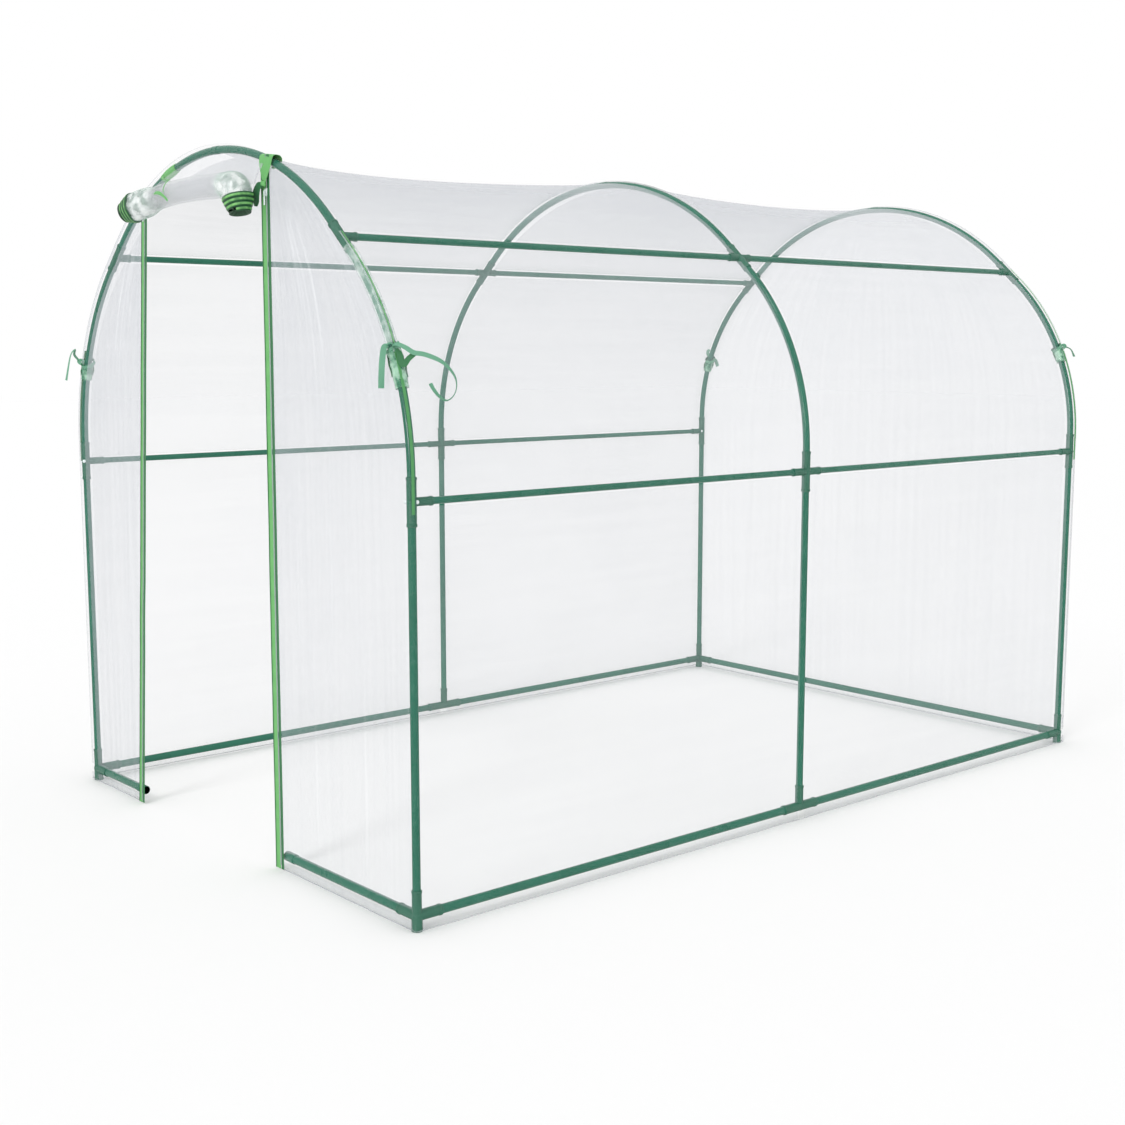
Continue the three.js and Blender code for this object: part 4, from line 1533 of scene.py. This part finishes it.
    def _band(self) -> None:
        """The top of the door between the arch seam and the roll, shaped with the roll up."""
        arch = self.arch
        inset = 0.0157
        front = arch.stations[0] - inset
        back_of_roll = self.y + self.body + 0.003
        top_z = arch.at(arch.half_length, inset)[0].z
        low_z = self.z + 0.004

        def where(a: float, b: float) -> Vector:
            """The place of the sheet at a share across and a share along."""
            left = self.edges.x("left", 1.93) + 0.001
            right = self.edges.x("right", 1.93) - 0.001
            x = left + (right - left) * a
            seam = arch.height(x, inset - 0.0004)
            z = seam + (low_z - seam) * b
            bend = b * b * (3 - 2 * b)
            return Vector((x, front + (back_of_roll - front) * bend, z))

        bm = cloth_grid(48, 90, where, (0.72, 0.13))
        bmesh.ops.recalc_face_normals(bm, faces=bm.faces)
        piece = finish_piece(bm, "door_film_top", self.band_film)
        thicken(piece, self.film)
        let_light_through(piece)
        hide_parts("door_film")
        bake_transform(piece)

    def _ribbon(
        self, bm: bmesh.types.BMesh, knots: Sequence[Vector], widths: Sequence[float], guide: Vector,
        thick: float = 0.0014,
    ) -> None:
        """A flat ribbon through knots whose width changes along it."""
        path = smooth_path(knots, 8)
        frames = frames_along(path, guide)
        count = len(frames) - 1
        scaled = []
        for i, at in enumerate(frames):
            t = i / count * (len(widths) - 1)
            low = min(int(t), len(widths) - 2)
            width = widths[low] + (widths[low + 1] - widths[low]) * (t - low)
            scaled.append(at @ Matrix.Diagonal((width, 1, 1, 1)))
        sweep(bm, strip(1.0, thick), scaled)

    def _squashed(
        self, bm: bmesh.types.BMesh, name: str, node: str, material: bpy.types.Material
    ) -> None:
        """Finishes a strap, shaped with the roll up, hides its CAD node and puts it on the still body with
        a mesh of its own.
        """
        piece = finish_piece(bm, name, material)
        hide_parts(node)
        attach(piece, ROOT)
        top = self.arch.at(self.arch.half_length, 0.016)[0].z
        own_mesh(piece)

    def _right_strap(self) -> None:
        """The wide strap over the arch, gathered into a knot beside the roll's end."""
        arch = self.arch
        y = arch.stations[0]
        x = 0.318
        z = arch.height(x, 0.0)
        slope = Vector((math.cos(0.36), 0, -math.sin(0.36)))
        over = [
            Vector((x - 0.006, y + 0.014, z - 0.016)), Vector((x - 0.006, y + 0.017, z + 0.006)),
            Vector((x - 0.003, y + 0.004, z + 0.0185)), Vector((x - 0.002, y - 0.016, z + 0.015)),
            Vector((x - 0.003, y - 0.0215, z - 0.012)), Vector((x - 0.004, y - 0.023, z - 0.036)),
            Vector((x - 0.005, y - 0.025, z - 0.056)),
        ]
        bm = bmesh.new()
        self._ribbon(bm, over, (0.042, 0.050, 0.060, 0.060, 0.050, 0.029, 0.013), slope)
        knot = Vector((x - 0.005, y - 0.026, z - 0.060))
        for turn in (0, 1):
            ring = [
                knot + Vector(
                    (0.008 * math.cos(a), 0.006 * math.sin(a), 0.005 * turn - 0.003 * math.cos(a))
                )
                for a in (math.tau * i / 14 for i in range(15))
            ]
            sweep(bm, strip(0.008, 0.0016), frames_along(ring, UP))
        self._squashed(bm, "door_strap_right_wrap", "door_strap_right", self.tape)
        bm = bmesh.new()
        for lean, lift in ((0.0, 0.0), (0.005, 0.004)):
            leaf = [
                knot + Vector(
                    (-0.008 + lean, -0.002, 0.000)
                ), knot + Vector((-0.026 + lean, -0.004, -0.010 + lift)),
                knot + Vector(
                    (-0.035 + lean, -0.005, -0.026 + lift)
                ), knot + Vector((-0.038 + lean, -0.004, -0.044)),
                knot + Vector((-0.040 + lean, -0.003, -0.056)),
            ]
            self._ribbon(bm, leaf, (0.012, 0.026, 0.030, 0.026, 0.010), Vector((1, 0.1, 0)))
        piece = finish_still(bm, "door_strap_right_loop", self.dark_tape_and_shade)
        top = arch.at(arch.half_length, 0.016)[0].z
        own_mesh(piece)

    def _left_strap(self) -> None:
        """The snug sleeve on the arch, with a thread down to the roll and its loose end in front."""
        arch = self.arch
        y = arch.stations[0]
        x = self.sleeve_x
        bm = bmesh.new()
        path = []
        for i in range(13):
            at = x + 0.042 * (i / 6 - 1)
            path.append(Vector((at, y, arch.height(at, 0.0))))
        radii = [arch.tube + 0.0032 * math.sin(math.pi * (0.12 + 0.76 * i / 12)) for i in range(13)]
        frames = frames_along(path, Vector((0, 1, 0)))
        sweep(
            bm, circle(1.0, 24), [f @ Matrix.Diagonal((r, r, 1, 1)) for f, r in zip(frames, radii)]
        )
        start = Vector((x - 0.024, y - arch.tube - 0.003, arch.height(x - 0.024, 0.0) - 0.006))
        around = self._run_at(-0.080)
        centre = self._frame(around)
        hug = self._radius(around, 0.0) + 0.0032
        drop = [start, start.lerp(centre.translation, 0.35) + Vector((0, -0.012, 0.010))]
        drop.append(centre @ Vector((-hug * 0.55, hug * 0.85, 0)))
        self._ribbon(bm, drop, (0.006, 0.004, 0.004), Vector((1, 0, 0)))
        turn = []
        for i in range(13):
            a = math.pi * (0.65 + 0.37 * i / 12)
            turn.append(centre @ Vector((hug * math.cos(a), hug * math.sin(a), 0)))
        sweep(bm, strip(0.0034, 0.0014), frames_along(turn, centre.col[2].xyz))
        front = centre @ Vector((-hug - 0.002, -0.004, 0))
        leaf = [
            front + Vector((-0.049, -0.002, 0.000)), front + Vector((-0.026, -0.006, 0.001)),
            front + Vector((-0.003, -0.007, -0.002)), front + Vector((0.018, -0.005, -0.012)),
            front + Vector((0.035, -0.003, -0.024)),
        ]
        self._ribbon(bm, leaf, (0.004, 0.009, 0.010, 0.008, 0.007), UP)
        self._squashed(bm, "door_strap_left_wrap", "door_strap_left", self.tape)

    def _run_at(self, x: float) -> float:
        """The distance along the roll at a place across the door."""
        return next(r for r, p in zip(self.runs, self.line) if p.x >= x)


# ---------------------------------------------------------------- tie ribbons


@dataclass
class TieRibbons:
    """Ribbons tied round the end arches above the waist rails."""

    arch: ArchLine
    ribbon: bpy.types.Material
    dark: bpy.types.Material
    veil: bpy.types.Material
    width: float = 0.013
    tail_width: float = 0.0150
    thick: float = 0.0009
    view_right: Vector = field(default_factory=lambda: Vector((0.654, 0.756, 0)))

    def build(self) -> None:
        """Builds the four ties."""
        r = self.view_right
        long_curl = [
            (0.006, 0.002), (0.018, 0.005), (0.039, -0.0035), (0.060, -0.016), (0.082, -0.0195),
            (0.107, -0.028), (0.128, -0.039), (0.146, -0.057), (0.158, -0.078), (0.160, -0.100),
            (0.153, -0.121), (0.137, -0.133), (0.121, -0.125), (0.107, -0.107), (0.099, -0.091),
        ]
        hang = [
            (-0.006, 0.002), (-0.014, -0.006), (-0.018, -0.039), (-0.0195, -0.068),
            (-0.021, -0.103)
        ]
        stub = [
            (0.016, -0.008), (0.025, -0.021), (0.028, -0.039), (0.037, -0.044), (0.046, -0.032),
            (0.060, -0.0195)
        ]
        small_up = [
            (-0.004, 0.004), (-0.014, 0.024), (-0.008, 0.040), (-0.022, 0.020), (-0.040, -0.060)
        ]
        small_right = [(0.006, 0.000), (0.022, -0.010), (0.032, -0.036)]
        small_low = [(0.004, -0.006), (0.018, -0.026), (0.034, -0.044)]
        self._tie("front_right", 1, 0, 1.475, [long_curl, hang, stub], r, 0.10)
        self._tie("front_left", -1, 0, 1.425, [small_up, small_right, small_low], r, 0.05)
        self._tie(
            "back_right", 1, 2, 1.475,
            [[(-0.004, 0), (-0.022, -0.030), (-0.026, -0.052)], small_right], r, 0.05
        )
        self._tie(
            "back_left", -1, 2, 1.425,
            [small_up[:3], small_right, [(-0.004, 0), (-0.024, -0.048)]], r, 0.05
        )
        LOG.info("ties built")

    def _tie(
        self, name: str, sign: int, station: int, z: float, tails: list[list[tuple[float, float]]],
        right: Vector, wrap: float,
    ) -> None:
        """One tie: a wrap round the tube and seam, a knot and its tails.

        Args:
            name: which arch and side it is on.
            sign: 1 on the right, -1 on the left.
            station: index of the arch.
            z: the knot's height.
            tails: each tail as places to the right of and above the knot.
            right: the level direction in which the tails spread.
            wrap: how far below the knot the wrapped part runs.
        """
        arch = self.arch
        y = arch.stations[station]
        run = arch.run_at_height(z)
        face = -1 if station == 0 else 1
        bm = bmesh.new()
        self._wrap(bm, run, sign, y, 0.0195, 0.012)
        knot_at, normal = arch.at(run, 0.014)
        knot = Vector((sign * knot_at.x, y + face * 0.017, knot_at.z))
        out = Vector((sign * normal.x, face, normal.z)).normalized()
        for lean in (0.4, -0.5):
            ring = [
                knot + right * 0.008 * math.cos(a)
                + UP * (0.006 * math.sin(a)) + out * (0.004 * math.sin(a + lean))
                for a in (math.tau * i / 12 for i in range(13))
            ]
            sweep(bm, strip(0.009, 0.0012), frames_along(ring, out))
        finish_still(bm, f"tie_knot_{name}", self.ribbon)
        self._below(name, run, sign, y, wrap)
        for index, tail in enumerate(tails):
            self._tail(f"tie_tail_{name}_{index + 1}", knot, tail, right, out, index)

    def _wrap(
        self, bm: bmesh.types.BMesh, run: float, sign: int, y: float, radius: float, slant: float
    ) -> None:
        """A turn of ribbon round the tube at a place along the arch."""
        loop = []
        for i in range(29):
            a = math.tau * i / 28
            point, normal = self.arch.at(run + slant * math.sin(a), radius * math.cos(a))
            loop.append(Vector((sign * point.x, y + radius * math.sin(a), point.z)))
        normal = self.arch.at(run)[1]
        along = Vector((-sign * normal.z, 0, normal.x))
        sweep(bm, strip(self.width, self.thick), frames_along(loop, along))

    def _below(self, name: str, run: float, sign: int, y: float, wrap: float) -> None:
        """The ribbon bunched round the tube below the knot, with a dark strip down each of its two sides as
        seen from the camera.
        """
        light = bmesh.new()
        steps = 14
        path, radii = [], []
        for i in range(steps + 1):
            share = i / steps
            point = self.arch.at(run - 0.004 - wrap * share, 0.0)[0]
            path.append(Vector((sign * point.x, y, point.z)))
            radii.append(0.0188 - 0.0014 * share + 0.0006 * math.sin(share * 19.0))
        frames = frames_along(path, Vector((0, 1, 0)))
        sweep(
            light, circle(1.0, 24),
            [f @ Matrix.Diagonal((r, r, 1, 1)) for f, r in zip(frames, radii)]
        )
        finish_still(light, f"tie_wrap_{name}", self.veil)
        # Dark strips set on the wrap's two sides as seen from the camera, which darken its outline.
        dark = bmesh.new()
        for side in (1, -1):
            edge = []
            widths = []
            for i in range(2, steps - 3):
                share = i / steps
                edge.append(
                    path[i] + self.view_right * side * (radii[i] + 0.0015 * math.sin(share * 3.1))
                )
                widths.append(0.002 + 0.008 * math.sin(math.pi * (i - 2) / (steps - 6)))
            guide = self.view_right.cross(UP)
            turned = [
                f @ Matrix.Diagonal((w, 1, 1, 1)) for f, w in zip(frames_along(edge, guide), widths)
            ]
            sweep(dark, strip(1.0, 0.0030), turned)
        finish_still(dark, f"tie_edges_{name}", self.dark)

    def _tail(
        self, name: str, knot: Vector, tail: list[
            tuple[float, float]
        ], right: Vector, out: Vector, index: int,
    ) -> None:
        """A loose end of ribbon, gathered at the knot and twisting along its length."""
        level = Vector((out.x, out.y, 0)).normalized()
        knots = [
            knot + right * a + UP * b + level * (0.004 + 0.010 * math.sin(i * 0.5))
            for i, (a, b) in enumerate(tail)
        ]
        path = smooth_path(knots, 8)
        frames = frames_along(path, out)
        count = len(frames)
        long = count > 80
        turned = []
        for i, at in enumerate(frames):
            share = i / count
            width = self.tail_width * (0.60 + 0.40 * math.sin(math.pi * min(0.5, share * 2.2)))
            if long:
                width *= 0.86 - 0.20 * share
            twist = (
                0.95 + 0.5 * math.sin(share * 7.0)
            ) if long else (1.15 + 0.35 * math.sin(share * 3.0))
            turned.append(at @ Matrix.Rotation(twist, 4, "Z") @ Matrix.Diagonal((width, 1, 1, 1)))
        bm = bmesh.new()
        sweep(bm, strip(1.0, self.thick), turned)
        piece = finish_still(
            bm, name, self.dark if index == 2 and not long else self.ribbon
        )
        length = sum((b - a).length for a, b in zip(path, path[1:]))


# ---------------------------------------------------------------- studio


@dataclass
class Studio:
    """A plain pale floor, soft light and the camera."""

    lens: float = 50.1
    eye: tuple = (4.0845, -3.648, 1.475)
    azimuth: float = 49.15
    elevation: float = 7.79
    floor_grey: float = 0.83
    suns: tuple = (
        ("key", (0.3, -0.95, 1.0), 0.60, 14.0),
        ("fill", (0.9, 0.2, 0.7), 0.20, 60.0),
        ("front", (0.35, -0.93, 0.12), 0.80, 12.0),
    )

    def build(self) -> None:
        """Builds the floor, the lights and the camera."""
        self._floor()
        self._lights()
        self._camera()
        bpy.context.scene.view_settings.view_transform = "Standard"
        bpy.context.scene.cycles.transparent_max_bounces = 64

    def _floor(self) -> None:
        """A wide matt floor."""
        bm = bmesh.new()
        bmesh.ops.create_grid(bm, x_segments=1, y_segments=1, size=40.0)
        mesh = bpy.data.meshes.new("floor")
        bm.to_mesh(mesh)
        bm.free()
        floor = bpy.data.objects.new("floor", mesh)
        bpy.context.scene.collection.objects.link(floor)
        n = Nodes("floor_paint")
        mesh.materials.append(
            n.surface(Base_Color=(*[self.floor_grey] * 3, 1), Roughness=0.9, Specular_IOR_Level=0.0)
        )

    def _lights(self) -> None:
        """Even white surroundings with a soft key, a weaker fill and a low front sun."""
        world = bpy.data.worlds.new("studio")
        world.use_nodes = True
        background = world.node_tree.nodes["Background"]
        background.inputs["Color"].default_value = (1, 1, 1, 1)
        background.inputs["Strength"].default_value = 1.0
        bpy.context.scene.world = world
        for name, towards, strength, spread in self.suns:
            self._sun(name, towards, strength, spread)

    def _sun(self, name: str, towards: tuple, strength: float, spread: float) -> None:
        """A soft distant light."""
        data = bpy.data.lights.new(name, "SUN")
        data.energy = strength
        data.angle = math.radians(spread)
        light = bpy.data.objects.new(name, data)
        light.rotation_mode = "QUATERNION"
        light.rotation_quaternion = Vector(towards).to_track_quat("Z", "Y")
        bpy.context.scene.collection.objects.link(light)

    def _camera(self) -> None:
        """The camera, level and unshifted."""
        data = bpy.data.cameras.new("camera")
        data.lens = self.lens
        data.sensor_width = 36.0
        data.clip_end = 200.0
        camera = bpy.data.objects.new("camera", data)
        a, e = math.radians(self.azimuth), math.radians(self.elevation)
        back = Vector((math.sin(a) * math.cos(e), -math.cos(a) * math.cos(e), math.sin(e)))
        camera.location = self.eye
        camera.rotation_mode = "QUATERNION"
        camera.rotation_quaternion = (-back).to_track_quat("-Z", "Y")
        bpy.context.scene.collection.objects.link(camera)
        bpy.context.scene.camera = camera


def main() -> None:
    """Builds the whole greenhouse and its studio."""
    logging.basicConfig(level=logging.INFO, format="%(name)s: %(message)s")
    arch = ArchLine()
    edges = DoorEdges()
    coat = PowderCoat().material()
    plastic = MouldedPlastic().material()
    tape = Webbing("binding_tape", (0.20, 0.52, 0.17), (0.045, 0.27, 0.06)).material()
    ring_tapes = {
        "right": RolledTape("rolled_tape_right", 0.0130).material(),
        "left": RolledTape("rolled_tape_left", 0.0130, 0.12).material(),
    }
    seam_tape = Webbing("seam_tape", (0.10, 0.36, 0.11), (0.03, 0.18, 0.06)).material()
    # This dark webbing is partly real tape and partly painted shade: on the door edges it darkens the
    # shaded side.
    dark_tape_and_shade = Webbing("zip_tape_painted_shade", (0.030, 0.19, 0.06), (0.010, 0.09, 0.03)).material()
    ribbon = Webbing("tie_ribbon", (0.20, 0.46, 0.30), (0.020, 0.15, 0.08)).material()
    pale = MouldedZip("pale_moulding", (0.62, 0.68, 0.68)).material()
    chain = MouldedZip("zip_chain", (0.24, 0.30, 0.30), 0.4).material()
    hood = ClearFilm("hood_film", Cling.HOOD, arch, (16.0, 0.8, 1.0), contrast=0.14,
                     tint=(0.48, 0.50, 0.54)).material()
    back = ClearFilm("back_film", Cling.END, arch, (40.0, 1.1, 1.0), 0.078, 0.20, face=1).material()
    # The front sheets' paler fold tint is a painted highlight along their fold streaks.
    front = ClearFilm("front_film", Cling.END, arch, (46.0, 1.1, 1.0), 0.104, 0.22, face=-1,
                      tint=(0.43, 0.45, 0.49), fold_highlight_tint=(0.62, 0.64, 0.67), rise=2.1).material()
    loose = ClearFilm("door_film", Cling.END, arch, (8.0, 30.0, 1.0), 0.085, face=-1).material()
    veil = CrumpledFilm(
        "tie_veil", 0.55, 0.92, (0.36, 0.60, 0.44), (0.06, 0.28, 0.15), (0.01, 0.12, 0.05)
    ).material()
    crumpled = CrumpledFilm("rolled_film", smooth=(-0.18, 0.205)).material()
    # The pale welt film is partly the seam's weld and partly a painted highlight along the arch tubes.
    welt_highlight = ClearFilm(
        "seam_welt", Cling.FREE, arch, (9.0, 9.0, 1.0), 0.14, tint=(0.70, 0.80, 0.76)
    ).material()
    Studio().build()
    TubeFrame(arch, coat, plastic, pale).build()
    FilmCover(arch, edges, hood, back, front).build()
    # Pale gathered film: partly milky film and partly a painted reflection on the film over the front arch.
    gathered_reflection = CrumpledFilm(
        "gathered_film", 0.26, 0.46, (0.86, 0.93, 0.90), (0.58, 0.72, 0.66), (0.12, 0.36, 0.25)
    ).material()
    Binding(arch, edges, tape, dark_tape_and_shade, chain, welt_highlight, gathered_reflection, seam_tape).build()
    for side, _ in SIDES:
        ZipPull(side, pale).build()
    # Painted shade: very dark webbing for the disc that stands for the shadowed hollow inside each end of
    # the roll.
    shade = Webbing("roll_mouth_shade", (0.012, 0.085, 0.030), (0.004, 0.040, 0.012)).material()
    RolledDoor(arch, edges, crumpled, loose, tape, dark_tape_and_shade, ring_tapes, shade).build()
    TieRibbons(arch, ribbon, dark_tape_and_shade, veil).build()


if __name__ == "__main__":
    main()
